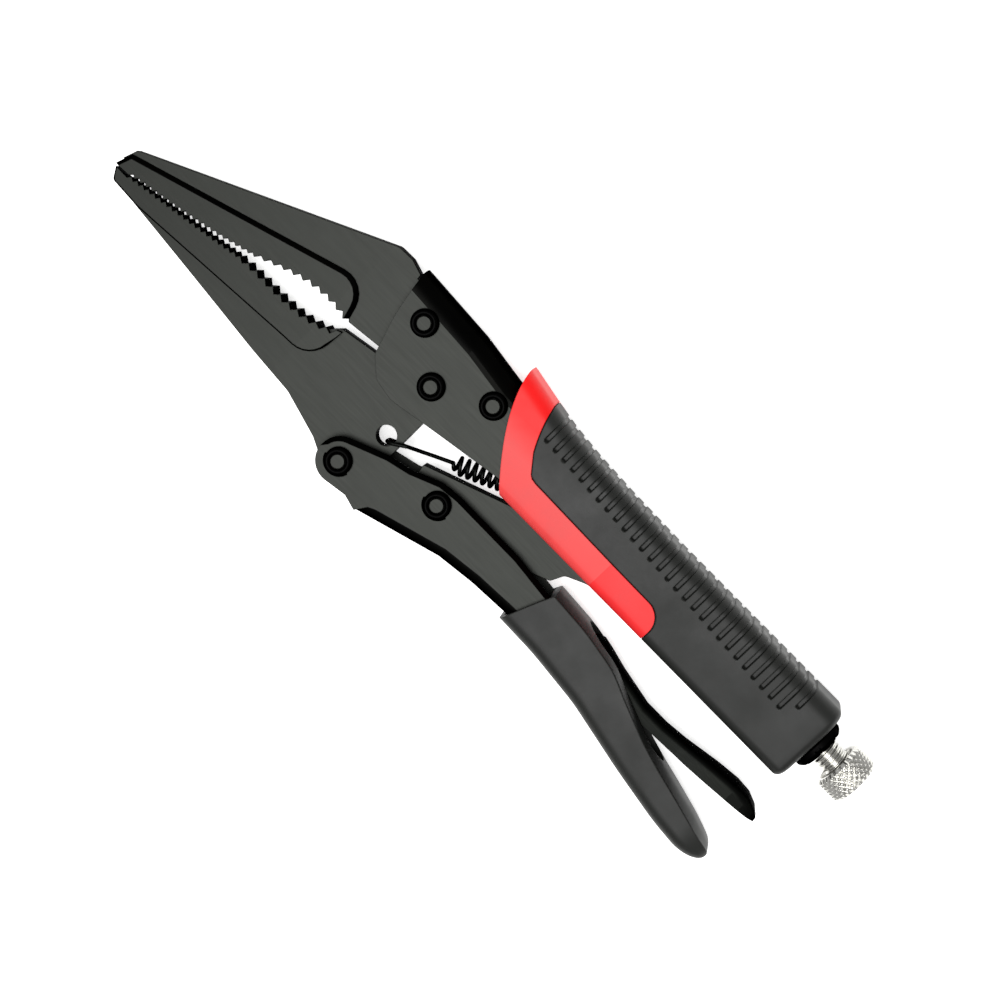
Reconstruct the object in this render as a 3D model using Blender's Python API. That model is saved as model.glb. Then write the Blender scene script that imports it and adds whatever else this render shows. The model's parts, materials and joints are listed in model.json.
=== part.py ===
"""Long-nose locking pliers, locked with the jaw tips together, lying flat on the grip's side.

X runs from the jaw tips to the adjusting knob, Y from the lever up to the fixed handle's
spine, and Z up along the rivets. Everything is laid out in millimetres about the axis of
the jaw pivot and the tool's mid-plane. The finished tool is then set down on z = 0, with
the centre of its footprint at the origin.
"""
import math

import bmesh
import bpy
from mathutils import Matrix, Vector

MM = 0.001
ROUND_SIDES = 24
BEND_STEPS = 7

# Clearances
GAP = 0.3
RUNNING_GAP = 0.2
TOGGLE_GAP = 2.8
NOSE_GAP = 2.5

# Pivots and rivets, in the plane of the tool
JAW_PIVOT = (0.0, 0.0)
FRONT_RIVET = (-11.7, 9.6)
REAR_RIVET = (13.6, 7.4)
LEVER_PIVOT = (-3.2, -28.6)
LINK_PIVOT = (20.9, -19.0)
RELEASE_PIVOT = (74.0, -22.0)
RIVET_SHANK_R = 2.6
RIVET_HEAD_R = 3.4
RIVET_HEAD_H = 2.0
RELEASE_PIN_R = 1.5
ANCHOR_PIN_R = 1.5

# Fixed handle
CHANNEL_WIDTH = 12.4
CHANNEL_WALL = 1.8
CHANNEL_BEND_R = 5.4
CHANNEL_FRONT_X = -20.3
SPINE_FRONT_Y = 18.3
SPINE_KNEE = (0.8, 17.1)
SPINE_HEEL = (13.7, 15.3)
SPINE_REAR_Y = 11.6
CHANNEL_LOW_Y = -4.2
TONGUE_ROOM = 2.5

# Grip on the fixed handle
GRIP_START_X = 14.0
GRIP_LENGTH = 109.7
GRIP_WIDTH = 18.0
GRIP_LOW_Y = -6.5
GRIP_CREST = [(13.0, 19.9), (23.0, 18.0), (31.0, 16.7), (40.0, 15.9), (52.0, 15.4), (70.0, 15.1)]
GRIP_CREST_REAR_Y = 15.3
GRIP_TOP_R = 4.5
GRIP_LOW_R = 2.4
GRIP_END_R = 2.0
GRIP_END_WALL = 5.3
LINK_SLOT_WIDTH = 8.4

# Screw, boss, collar and knob
SCREW_Y = 5.0
ROD_R = 3.7
BOSS_LENGTH = 11.0
COLLAR_R = 6.7
COLLAR_SPIGOT_R = 5.4
COLLAR_LENGTH = 2.7
KNOB_R = 6.65
KNOB_LENGTH = 6.7
KNOB_STAND_OFF = 4.9
KNOB_RECESS_R = 5.0
KNOB_RECESS_DEPTH = 2.2
KNOB_CAP = 1.4

# Jaws; their outlines further down are drawn at the drawn nose length
NOSE_LENGTH = 66.0
DRAWN_NOSE_LENGTH = 66.0
NOSE_ROOT_X = -26.0
FLANGE_THICKNESS = 4.6
PAD_THICKNESS = 8.4
TIP_SHARE = 0.62
HUB_R = 7.5
TAPER_START = 4.0
FINE_PITCH = 1.75
FINE_DEPTH = 0.85
COARSE_PITCH = 2.6
COARSE_DEPTH = 1.15
SPRING_HOLE = (0.4, -16.8)
SPRING_HOLE_R = 2.6

# Lever, toggle link and release lever
LEVER_WIDTH = 12.4
LEVER_WALL = 1.8
LEVER_BEND_R = 3.0
EAR_R = 5.8
ARM_BOSS_R = 4.4
LINK_THICKNESS = 5.0
LINK_EYE_R = 6.9
LINK_HALF_HEIGHT = 7.3
LINK_FRONT_X = 11.6
LINK_TAPER = 0.055
LINK_END_R = 4.0
LINK_END_AHEAD_OF_COLLAR = 35.7
RELEASE_WALL = 1.2
RELEASE_BEND_R = 1.8

# Sleeve on the lever
SLEEVE_WIDTH = 16.0
SLEEVE_TOP_R = 0.9
SLEEVE_LOW_R = 3.2
SLEEVE_END_X = 126.2
SLOT_START_X = 67.0
SLOT_END_X = 103.0

# Spring
WIRE_R = 0.48
COIL_R = 2.05
COIL_PITCH = 1.75
ANCHOR_X = 45.0
ANCHOR_ABOVE_LINK = 11.0

# Sizes that follow from the ones above
GRIP_END_X = GRIP_START_X + GRIP_LENGTH
CHANNEL_END_X = GRIP_END_X - GRIP_END_WALL - GAP
CHANNEL_INSIDE = CHANNEL_WIDTH - 2 * CHANNEL_WALL
LEVER_INSIDE = LEVER_WIDTH - 2 * LEVER_WALL
HUB_THICKNESS = CHANNEL_INSIDE - 2 * (GAP + RUNNING_GAP)
ARM_BOSS_THICKNESS = LEVER_INSIDE - 2 * GAP
RIVET_HOLE_R = RIVET_SHANK_R + RUNNING_GAP
LINK_END = (GRIP_END_X - LINK_END_AHEAD_OF_COLLAR, SCREW_Y)
LINK_SLOPE = (LINK_END[1] - LINK_PIVOT[1]) / (LINK_END[0] - LINK_PIVOT[0])
ROD_TIP_X = LINK_END[0] + LINK_END_R + TOGGLE_GAP
COLLAR_END_X = GRIP_END_X + GAP + COLLAR_LENGTH
KNOB_START_X = COLLAR_END_X + KNOB_STAND_OFF
KNOB_END_X = KNOB_START_X + KNOB_LENGTH


def link_line(x):
    """Height of the toggle link's centre line at x."""
    return LINK_PIVOT[1] + LINK_SLOPE * (x - LINK_PIVOT[0])


ANCHOR_PIN = (ANCHOR_X, link_line(ANCHOR_X) + ANCHOR_ABOVE_LINK)


# ---------------------------------------------------------------- shapes in the plane

def arc(centre, radius, start, end, steps):
    """Points on a circle from one angle to another, in degrees."""
    angles = [math.radians(start + (end - start) * i / steps) for i in range(steps + 1)]
    return [(centre[0] + radius * math.cos(a), centre[1] + radius * math.sin(a)) for a in angles]


def rounded(corners, steps=5):
    """A polygon whose corners (x, y, radius) are rounded by arcs of that radius."""
    points = []
    for i, (x, y, radius) in enumerate(corners):
        here = Vector((x, y))
        if radius == 0:
            points.append((x, y))
            continue
        to_last = (Vector(corners[i - 1][:2]) - here).normalized()
        to_next = (Vector(corners[(i + 1) % len(corners)][:2]) - here).normalized()
        half = to_last.angle(to_next) / 2
        middle = here + (to_last + to_next).normalized() * radius / math.sin(half)
        start = here + to_last * radius / math.tan(half) - middle
        turn = (here + to_next * radius / math.tan(half) - middle).angle_signed(start)
        for k in range(steps + 1):
            spoke = start.copy()
            spoke.rotate(Matrix.Rotation(turn * k / steps, 2))
            points.append(tuple(middle + spoke))
    return points


def bezier(p0, p1, p2, p3, steps):
    """Points on a cubic curve."""
    points = []
    for i in range(steps + 1):
        t = i / steps
        weights = ((1 - t) ** 3, 3 * t * (1 - t) ** 2, 3 * t * t * (1 - t), t ** 3)
        points.append(tuple(sum(w * p[k] for w, p in zip(weights, (p0, p1, p2, p3))) for k in (0, 1)))
    return points


def nose(points):
    """Jaw points, moved along X from the drawn nose length to the one in use."""
    stretch = NOSE_LENGTH / DRAWN_NOSE_LENGTH
    moved = []
    for point in points:
        x = point[0]
        if x < NOSE_ROOT_X:
            x = NOSE_ROOT_X + (x - NOSE_ROOT_X) * stretch
        moved.append((x, *point[1:]))
    return moved


def toothed(curve, pitch, depth, lead=0):
    """Saw teeth along a curve: crests on the curve, roots a depth to its left.

    The row starts on a crest, or half a pitch on, on a root, with a lead of 1.
    """
    lengths = [0.0]
    for a, b in zip(curve, curve[1:]):
        lengths.append(lengths[-1] + math.dist(a, b))
    halves = 2 * max(1, round(lengths[-1] / pitch - lead / 2)) + lead
    points = []
    for k in range(halves + 1):
        reach = lengths[-1] * k / halves
        i = max(j for j in range(len(curve) - 1) if lengths[j] <= reach + 1e-9)
        share = (reach - lengths[i]) / (lengths[i + 1] - lengths[i])
        a, b = Vector(curve[i]), Vector(curve[i + 1])
        run = (b - a).normalized()
        normal = Vector((-run.y, run.x)) * depth
        points.append(tuple(a.lerp(b, share) + (normal if (k + lead) % 2 else Vector((0, 0)))))
    return points


def between(stations, x):
    """A value read off a list of (x, value) by straight lines."""
    for (x0, v0), (x1, v1) in zip(stations, stations[1:]):
        if x <= x1:
            return v0 + (v1 - v0) * max(0.0, x - x0) / (x1 - x0)
    return stations[-1][1]


# ---------------------------------------------------------------- solids, in millimetres

def as_object(bm):
    mesh = bpy.data.meshes.new("shape")
    bmesh.ops.recalc_face_normals(bm, faces=bm.faces[:])
    bm.to_mesh(mesh)
    bm.free()
    shape = bpy.data.objects.new("shape", mesh)
    bpy.context.scene.collection.objects.link(shape)
    return shape


def prism(outline, thickness):
    """An outline in the tool's plane, as thick as asked about the mid-plane."""
    bm = bmesh.new()
    corners = [bm.verts.new((x, y, -thickness / 2)) for x, y in outline]
    for a, b in zip(corners, corners[1:] + corners[:1]):
        bm.edges.new((a, b))
    bmesh.ops.triangle_fill(bm, use_beauty=True, edges=bm.edges[:])
    lid = bmesh.ops.extrude_face_region(bm, geom=bm.faces[:])["geom"]
    raised = [v for v in lid if isinstance(v, bmesh.types.BMVert)]
    bmesh.ops.translate(bm, verts=raised, vec=(0, 0, thickness))
    return as_object(bm)


def loft(sections):
    """A skin over rings of equally many points, closed at both ends.

    Each end is closed by quads between the ring's first half and its second half turned
    round, which suits a U as well as a convex ring.
    """
    bm = bmesh.new()
    rings = [[bm.verts.new(p) for p in section] for section in sections]
    count = len(rings[0])
    for low, high in zip(rings, rings[1:]):
        for i in range(count):
            j = (i + 1) % count
            bm.faces.new((low[i], low[j], high[j], high[i]))
    for ring in (rings[0], rings[-1]):
        for i in range(count // 2 - 1):
            bm.faces.new((ring[i], ring[i + 1], ring[count - 2 - i], ring[count - 1 - i]))
    bmesh.ops.triangulate(bm, faces=bm.faces[:])
    return as_object(bm)


def channel(stations, wall, bend, side):
    """A U section along X: stations are (x, spine y, half width, reach), spine at +Y if side is 1."""
    sections = []
    for x, spine, half, reach in stations:
        outer = arc((half - bend, spine - side * bend), bend, 0, 90 * side, BEND_STEPS)
        inner_bend = max(bend - wall, 0.2)
        inner = arc((half - bend, spine - side * bend), inner_bend, 0, 90 * side, BEND_STEPS)
        flank = [(half, spine - side * reach), *outer]
        inside = [(half - wall, spine - side * reach), *inner]
        ring = flank + [(-z, y) for z, y in reversed(flank)]
        ring += [(-z, y) for z, y in inside] + list(reversed(inside))
        sections.append([(x, y, z) for z, y in ring])
    return loft(sections)


def rounded_box_section(x, low, high, half, low_r, top_r, lean=0.0):
    """A ring of constant x, or leaning in X from its low to its high edge."""
    corners = [(-half, low, low_r), (half, low, low_r), (half, high, top_r), (-half, high, top_r)]
    ring = rounded(corners, 4)
    return [(x + lean * (y - low) / (high - low), y, z) for z, y in ring]


def turned(profile, centre, axis="X", sides=ROUND_SIDES, closed=False):
    """A profile of (along, radius) turned about an axis; a closed profile makes a ring."""
    bm = bmesh.new()
    rings = []
    for along, radius in profile:
        if radius == 0:
            rings.append([bm.verts.new((along, 0, 0))])
            continue
        turns = [2 * math.pi * i / sides for i in range(sides)]
        rings.append([bm.verts.new((along, radius * math.cos(t), radius * math.sin(t))) for t in turns])
    pairs = list(zip(rings, rings[1:]))
    if closed:
        pairs.append((rings[-1], rings[0]))
    for low, high in pairs:
        for i in range(sides):
            j = (i + 1) % sides
            corners = [low[i % len(low)], low[j % len(low)], high[j % len(high)], high[i % len(high)]]
            bm.faces.new(list(dict.fromkeys(corners)))
    if axis == "Z":
        bmesh.ops.rotate(bm, verts=bm.verts[:], cent=(0, 0, 0), matrix=Matrix.Rotation(-math.pi / 2, 3, "Y"))
    bmesh.ops.translate(bm, verts=bm.verts[:], vec=centre)
    bmesh.ops.triangulate(bm, faces=bm.faces[:])
    return as_object(bm)


def combine(base, tool, operation):
    """The exact boolean of two shapes, kept in the first; the second is used up."""
    step = base.modifiers.new("combine", "BOOLEAN")
    step.operation = operation
    step.object = tool
    bpy.context.view_layer.update()
    graph = bpy.context.evaluated_depsgraph_get()
    mesh = bpy.data.meshes.new_from_object(base.evaluated_get(graph))
    base.modifiers.clear()
    base.data = mesh
    bpy.data.objects.remove(tool)
    return base


def drill(shape, place, radius, length=40.0):
    """A round hole along Z through the shape."""
    drilling = [(-length / 2, 0), (-length / 2, radius), (length / 2, radius), (length / 2, 0)]
    return combine(shape, turned(drilling, (*place, 0), axis="Z"), "DIFFERENCE")


# ---------------------------------------------------------------- materials and bodies

def finish(name, colour, roughness, metallic):
    material = bpy.data.materials.new(name)
    material.use_nodes = True
    shader = material.node_tree.nodes["Principled BSDF"]
    shader.inputs["Base Color"].default_value = (*colour, 1)
    shader.inputs["Roughness"].default_value = roughness
    shader.inputs["Metallic"].default_value = metallic
    return material


def body(name, parent, pivot):
    """An empty on the axis of the joint that carries the body."""
    empty = bpy.data.objects.new(name, None)
    bpy.context.scene.collection.objects.link(empty)
    empty.empty_display_size = 0.01
    here = Vector((*pivot, 0)) * MM
    empty.location = here
    if parent:
        empty.parent = parent
        empty.location = here - Vector((*parent["pivot"], 0)) * MM
    empty["pivot"] = pivot
    return empty


def piece(name, shape, carrier, material):
    """Names a finished shape, scales it to metres and hangs it on its body."""
    pivot = Vector((*carrier["pivot"], 0))
    shape.data.transform(Matrix.Scale(MM, 4) @ Matrix.Translation(-pivot))
    shape.name = name
    shape.data.name = name
    shape.data.materials.clear()
    shape.data.materials.append(material)
    shape.parent = carrier
    shape.data.shade_smooth()
    shape.data.set_sharp_from_angle(angle=math.radians(30))
    return shape


# ---------------------------------------------------------------- jaws

# The mouth's crest lines: the upper jaw's and the lower jaw's
UPPER_FINE = [(-87.4, -17.0), (-80.0, -15.7), (-72.0, -14.15), (-62.0, -11.85), (-52.0, -9.1)]
UPPER_MOUTH = [(-52.0, -9.1), (-45.0, -6.4), (-37.0, -2.2), (-26.6, -4.2)]
LOWER_FINE = [(-87.4, -16.95), (-76.0, -15.0), (-66.0, -13.6), (-54.5, -11.3)]
LOWER_MOUTH = [(-54.5, -11.3), (-45.0, -10.0), (-35.0, -12.6), (-25.6, -7.2)]


def upper_teeth():
    fine = toothed(nose(UPPER_FINE), FINE_PITCH, FINE_DEPTH)
    mouth = toothed(bezier(*nose(UPPER_MOUTH), 24), COARSE_PITCH, COARSE_DEPTH)
    return fine + mouth[1:]


def lower_teeth():
    fine = toothed(bezier(*nose(LOWER_FINE), 12), FINE_PITCH, -FINE_DEPTH, 1)
    mouth = toothed(bezier(*nose(LOWER_MOUTH), 24), COARSE_PITCH, -COARSE_DEPTH)
    return fine + mouth[1:]


def taper(shape):
    """Thins a jaw evenly from just ahead of the nose's root to its tip."""
    start = NOSE_ROOT_X - TAPER_START
    bm = bmesh.new()
    bm.from_mesh(shape.data)
    everything = bm.verts[:] + bm.edges[:] + bm.faces[:]
    bmesh.ops.bisect_plane(bm, geom=everything, dist=0.001, plane_co=(start, 0, 0), plane_no=(1, 0, 0))
    for vertex in bm.verts:
        share = min(max((start - vertex.co.x) / (NOSE_LENGTH - TAPER_START), 0.0), 1.0)
        vertex.co.z *= 1 - (1 - TIP_SHARE) * share
    bmesh.ops.triangulate(bm, faces=bm.faces[:])
    bm.to_mesh(shape.data)
    bm.free()
    return shape


def fixed_jaw():
    pad = nose([(-91.9, -17.3)])
    pad += upper_teeth()
    pad += [(-25.6, -3.3)]
    pad += rounded(nose([(-25.6, -3.3, 0), (-28.1, 6.2, 6.5), (-90.3, -13.0, 0)]), 6)[1:]
    jaw = prism(pad, PAD_THICKNESS)
    flange = nose([(-91.5, -15.3, 0), (-90.1, -11.5, 0), (-28.9, 17.4, 2.5)])
    flange += [(-24.6, 17.5, 2.0), (-20.7, 16.3, 0), (-20.6, 15.2, 0), (-13.0, 14.9, 0)]
    flange += [(-13.0, -2.6, 0), (-25.1, -4.0, 0), (-26.6, -2.6, 0)]
    flange += nose([(-36.0, -0.4, 0), (-47.0, -4.2, 0), (-53.0, -6.6, 0), (-80.0, -13.0, 0)])
    combine(jaw, prism(rounded(flange), FLANGE_THICKNESS), "UNION")
    top = SPINE_FRONT_Y - CHANNEL_WALL - TONGUE_ROOM
    knee = SPINE_KNEE[1] - CHANNEL_WALL - TONGUE_ROOM
    heel = SPINE_HEEL[1] - CHANNEL_WALL - TONGUE_ROOM
    tongue = [(-18.3, 13.2, 0), (-17.9, top - 0.2, 0), (0.4, knee - 0.1, 0), (13.6, heel, 0)]
    tongue += [(18.4, heel - 0.2, 1.5), (18.4, 2.6, 1.5), (0.0, 2.6, 0), (-6.0, -1.2, 0), (-14.2, -2.3, 0)]
    combine(jaw, prism(rounded(tongue), HUB_THICKNESS), "UNION")
    drill(jaw, JAW_PIVOT, HUB_R + GAP)
    drill(jaw, FRONT_RIVET, RIVET_HOLE_R)
    drill(jaw, REAR_RIVET, RIVET_HOLE_R)
    return taper(jaw)


def movable_jaw():
    pad = nose([(-91.2, -17.75)])
    pad += lower_teeth()
    pad += [(-24.4, -6.7)]
    pad += rounded([(-24.4, -6.7, 0), *nose([(-25.4, -17.1, 6.5), (-33.6, -17.5, 0)])], 6)[1:]
    pad += nose([(-80.8, -21.0)])
    pad += rounded(nose([(-80.8, -21.0, 0), (-89.5, -20.6, 1.2), (-91.2, -17.75, 0)]))[1:-1]
    jaw = prism(pad, PAD_THICKNESS)
    flange = nose([(-60.0, -15.4, 0), (-80.0, -17.4, 0), (-88.3, -19.4, 0), (-88.1, -20.6, 0)])
    flange += nose([(-60.3, -23.2, 0), (-37.0, -25.5, 0)])
    flange += [(-24.0, -26.4, 8.0), (-12.0, -29.8, 0), (-8.4, -31.6, 0), (-5.0, -32.6, 0)]
    flange += [(-1.0, -32.2, 0), (2.4, -27.0, 0), (4.5, -19.6, 0), (4.5, -3.0, 0), (-5.0, -2.8, 0)]
    flange += [(-25.0, -6.3, 0), (-27.4, -8.8, 0)]
    flange += nose([(-31.0, -13.6, 0), (-38.0, -14.6, 0), (-46.0, -14.2, 0)])
    combine(jaw, prism(rounded(flange), FLANGE_THICKNESS), "UNION")
    combine(jaw, prism(arc(JAW_PIVOT, HUB_R, 0, 360, 40)[:-1], HUB_THICKNESS), "UNION")
    combine(jaw, prism(arc(LEVER_PIVOT, ARM_BOSS_R, 0, 360, 30)[:-1], ARM_BOSS_THICKNESS), "UNION")
    drill(jaw, JAW_PIVOT, RIVET_HOLE_R)
    drill(jaw, LEVER_PIVOT, RIVET_HOLE_R)
    drill(jaw, SPRING_HOLE, SPRING_HOLE_R)
    return taper(jaw)


# ---------------------------------------------------------------- fixed handle

def spine_stations():
    return [(CHANNEL_FRONT_X, SPINE_FRONT_Y), SPINE_KNEE, SPINE_HEEL, (CHANNEL_END_X, SPINE_REAR_Y)]


def handle_channel():
    reach = SPINE_FRONT_Y + 12.0
    half = CHANNEL_WIDTH / 2
    stations = [(x, y, half, reach) for x, y in spine_stations()]
    shell = channel(stations, CHANNEL_WALL, CHANNEL_BEND_R, 1)
    side = [(CHANNEL_FRONT_X - 1, SPINE_FRONT_Y + 4, 0), (CHANNEL_FRONT_X - 1, SPINE_FRONT_Y - 1.2, 0)]
    side += [(-20.0, 16.2, 0), (-18.2, 6.0, 30), (-15.0, -4.2, 3), (-10.5, -8.3, 4), (-4.6, -9.3, 5)]
    side += [(4.8, -7.6, 0), (26.9, -3.9, 6), (34.0, CHANNEL_LOW_Y, 0)]
    side += [(CHANNEL_END_X + 1, CHANNEL_LOW_Y, 0), (CHANNEL_END_X + 1, SPINE_FRONT_Y + 4, 0)]
    combine(shell, prism(rounded(side), CHANNEL_WIDTH + 2), "INTERSECT")
    for place in (JAW_PIVOT, FRONT_RIVET, REAR_RIVET):
        drill(shell, place, RIVET_HOLE_R)
    return drill(shell, ANCHOR_PIN, ANCHOR_PIN_R + RUNNING_GAP)


def grip_shell():
    """The whole grip, open along its underside and in front, before it is split by colour."""
    half = GRIP_WIDTH / 2
    tops = [*GRIP_CREST, (GRIP_END_X, GRIP_CREST_REAR_Y)]
    sections = []
    for x in (*(x for x, y in GRIP_CREST), GRIP_END_X - GRIP_END_R):
        top = between(tops, x)
        sections.append(rounded_box_section(x, GRIP_LOW_Y, top, half, GRIP_LOW_R, GRIP_TOP_R))
    for k in (1, 2, 3):
        angle = math.radians(30 * k)
        inset = GRIP_END_R * (1 - math.cos(angle))
        x = GRIP_END_X - GRIP_END_R + GRIP_END_R * math.sin(angle)
        top = between(tops, x) - inset
        ring = rounded_box_section(x, GRIP_LOW_Y + inset, top, half - inset, GRIP_LOW_R, GRIP_TOP_R)
        sections.append(ring)
    shell = loft(sections)
    pocket = []
    for x, y in [(-8.0, between(spine_stations(), -8.0)), *spine_stations()[1:]]:
        end = GAP if x == CHANNEL_END_X else 0.0
        section = (x + end, CHANNEL_LOW_Y - GAP, y + GAP, CHANNEL_WIDTH / 2 + GAP, 0.3, CHANNEL_BEND_R)
        pocket.append(rounded_box_section(*section))
    combine(shell, loft(pocket), "DIFFERENCE")
    slot = [(GRIP_START_X - 9, GRIP_LOW_Y - 3), (CHANNEL_END_X, GRIP_LOW_Y - 3)]
    slot += [(CHANNEL_END_X, CHANNEL_LOW_Y + 1), (GRIP_START_X - 9, CHANNEL_LOW_Y + 1)]
    combine(shell, prism(slot, LINK_SLOT_WIDTH), "DIFFERENCE")
    bore = [(CHANNEL_END_X - 2, 0), (CHANNEL_END_X - 2, COLLAR_SPIGOT_R + GAP)]
    bore += [(GRIP_END_X + 2, COLLAR_SPIGOT_R + GAP), (GRIP_END_X + 2, 0)]
    return combine(shell, turned(bore, (0, SCREW_Y, 0)), "DIFFERENCE")


def band_outline(front, room):
    """The red band and its tail, from a front edge back; room draws the rear edges further back."""
    tail = [(30.8, -12.0, 0), (77.2 + room, -12.0, 0), (77.2 + room, 1.3 + room, 5.0)]
    tail += [(60.0, 1.4 + room, 0), (32.2 + room, 1.9 + room, 1.2)]
    rear = bezier((28.0 + room, 6.8), (25.4 + room, 11.5), (24.0 + room, 15.5), (22.0 + room, 25.0), 6)
    corner = rounded([*tail, (*rear[0], 0)])[:-1]
    return front + corner + rear


def handle_grip():
    """What is left of the grip once the band and everything ahead of it is taken away."""
    ahead = [(GRIP_START_X - 9, 25.0), (GRIP_START_X - 9, -12.0)]
    return combine(grip_shell(), prism(band_outline(ahead, GAP), GRIP_WIDTH + 2), "DIFFERENCE")


def handle_grip_band():
    bowed = bezier((13.2, 25.0), (13.6, 14.0), (19.0, 5.0), (30.6, -7.6), 12)
    return combine(grip_shell(), prism(band_outline(bowed, 0.0), GRIP_WIDTH + 2), "INTERSECT")


def screw_boss():
    """The threaded block held in the channel's rear end."""
    high = SPINE_REAR_Y - CHANNEL_WALL - GAP
    end = CHANNEL_END_X - GAP
    start = end - BOSS_LENGTH
    half = CHANNEL_INSIDE / 2 - GAP
    low = SCREW_Y - (high - SCREW_Y)
    shoulder = CHANNEL_BEND_R - CHANNEL_WALL - GAP
    block = loft([rounded_box_section(x, low, high, half, 0.4, shoulder) for x in (start, end)])
    bore = [(start - 2, 0), (start - 2, ROD_R + RUNNING_GAP)]
    bore += [(end + 2, ROD_R + RUNNING_GAP), (end + 2, 0)]
    return combine(block, turned(bore, (0, SCREW_Y, 0)), "DIFFERENCE")


def end_collar():
    inner = ROD_R + RUNNING_GAP
    face = GRIP_END_X + GAP
    profile = [(CHANNEL_END_X + GAP, inner), (CHANNEL_END_X + GAP, COLLAR_SPIGOT_R)]
    profile += [(face, COLLAR_SPIGOT_R), (face, COLLAR_R), (COLLAR_END_X - 1.2, COLLAR_R)]
    profile += [(COLLAR_END_X, COLLAR_R - 0.9), (COLLAR_END_X, inner)]
    return turned(profile, (0, SCREW_Y, 0), closed=True)


def adjusting_screw():
    end = KNOB_END_X - KNOB_CAP - GAP
    profile = [(ROD_TIP_X, 0), (ROD_TIP_X, ROD_R - 1.0), (ROD_TIP_X + 1.0, ROD_R), (end, ROD_R), (end, 0)]
    return turned(profile, (0, SCREW_Y, 0))


def adjusting_knob():
    bore = ROD_R + RUNNING_GAP
    floor = KNOB_START_X + KNOB_RECESS_DEPTH
    profile = [(KNOB_END_X - KNOB_CAP, 0), (KNOB_END_X - KNOB_CAP, bore), (floor, bore)]
    profile += [(floor, KNOB_RECESS_R - 0.4), (KNOB_START_X, KNOB_RECESS_R), (KNOB_START_X, KNOB_R - 0.8)]
    profile += [(KNOB_START_X + 0.8, KNOB_R), (KNOB_END_X - 0.8, KNOB_R), (KNOB_END_X, KNOB_R - 0.8)]
    profile += [(KNOB_END_X, 0)]
    return turned(profile, (0, SCREW_Y, 0))


def rivet(place, width):
    """A rivet with a domed, flat-topped head outside each wall."""
    seat = width / 2 + RUNNING_GAP
    top = seat + RIVET_HEAD_H
    half = [(0.0, RIVET_SHANK_R), (seat, RIVET_SHANK_R), (seat, RIVET_HEAD_R)]
    half += [(seat + 0.6, RIVET_HEAD_R), (top - 0.5, RIVET_HEAD_R - 0.6), (top, RIVET_HEAD_R - 1.4)]
    half += [(top, 0)]
    profile = [(-along, radius) for along, radius in reversed(half)] + half[1:]
    return turned(profile, (*place, 0), axis="Z")


def cross_pin(place, radius, length):
    profile = [(-length / 2, 0), (-length / 2, radius), (length / 2, radius), (length / 2, 0)]
    return turned(profile, (*place, 0), axis="Z", sides=16)


# ---------------------------------------------------------------- lever, link and release

LEVER_LOW = [(6.8, -34.9), (29.7, -28.1), (40.0, -26.8), (51.0, -26.2), (62.0, -26.3)]
LEVER_LOW += [(77.0, -27.5), (96.0, -31.2), (108.0, -33.1), (117.5, -34.2)]
LEVER_TOP = [(23.4, -14.0), (43.5, -14.1), (56.0, -15.4), (70.0, -17.8), (78.0, -19.2)]
LEVER_TOP += [(84.5, -21.9), (95.5, -25.6), (107.0, -28.3), (117.5, -30.8)]
SLEEVE_LOW = [(50.0, -27.7), (62.0, -28.0), (77.3, -29.5), (96.0, -33.3), (110.9, -35.8), (120.5, -36.6)]
SLEEVE_TOP = [(50.0, -12.6), (56.0, -12.8), (67.3, -13.5), (78.4, -15.4), (85.0, -18.3), (96.0, -22.6)]
SLEEVE_TOP += [(103.0, -24.6), (110.0, -26.3), (121.5, -29.3)]
RELEASE_TOP = [(67.8, -18.4), (70.2, -14.6), (72.0, -13.9), (75.0, -14.5), (80.5, -15.9), (90.5, -17.8)]
RELEASE_TOP += [(97.0, -17.8), (103.0, -17.2), (112.7, -15.9), (119.0, -15.3), (123.0, -15.5)]
RELEASE_TOP += [(126.0, -16.6), (127.8, -18.0)]
RELEASE_LOW = [(127.8, -18.9), (125.0, -19.2), (117.7, -19.8), (106.5, -20.9), (101.0, -21.2)]
RELEASE_LOW += [(96.0, -21.4), (88.0, -21.8)]


def lever_channel():
    """A U open towards the handle, running forward into two flat ears about the lever's pivot."""
    half = LEVER_WIDTH / 2
    stations = [(x, y, half, 24.0) for x, y in LEVER_LOW]
    shell = channel(stations, LEVER_WALL, LEVER_BEND_R, -1)
    arm = [(4.5, -19.2, 0), (10.6, -17.7, 0), (18.0, -15.1, 8), (23.4, -14.2, 0), (23.4, -24.0, 0)]
    arm += [(9.5, -31.5, 0), (7.6, -34.5, 0), (5.4, -33.9, 1.5), (3.6, -33.4, 0)]
    flank = rounded(arm) + arc(LEVER_PIVOT, EAR_R, -83, -247, 18)
    for side in (-1, 1):
        plate = prism(flank, LEVER_WALL)
        plate.data.transform(Matrix.Translation((0, 0, side * (LEVER_WIDTH - LEVER_WALL) / 2)))
        combine(shell, plate, "UNION")
    profile = [(-12.0, -40.0), (120.0, -40.0), *reversed(LEVER_TOP), (18.0, -14.6), (10.6, -17.7)]
    profile += [(4.5, -19.2), (-5.3, -23.0), (-12.0, -26.0)]
    combine(shell, prism(profile, LEVER_WIDTH + 2), "INTERSECT")
    for place in (LEVER_PIVOT, LINK_PIVOT):
        drill(shell, place, RIVET_HOLE_R)
    return drill(shell, RELEASE_PIVOT, RELEASE_PIN_R + RUNNING_GAP)


def link_low_edge(x):
    """The toggle link's lower edge ahead of its step."""
    return link_line(x) - LINK_HALF_HEIGHT + (x - LINK_PIVOT[0]) * LINK_TAPER


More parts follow.
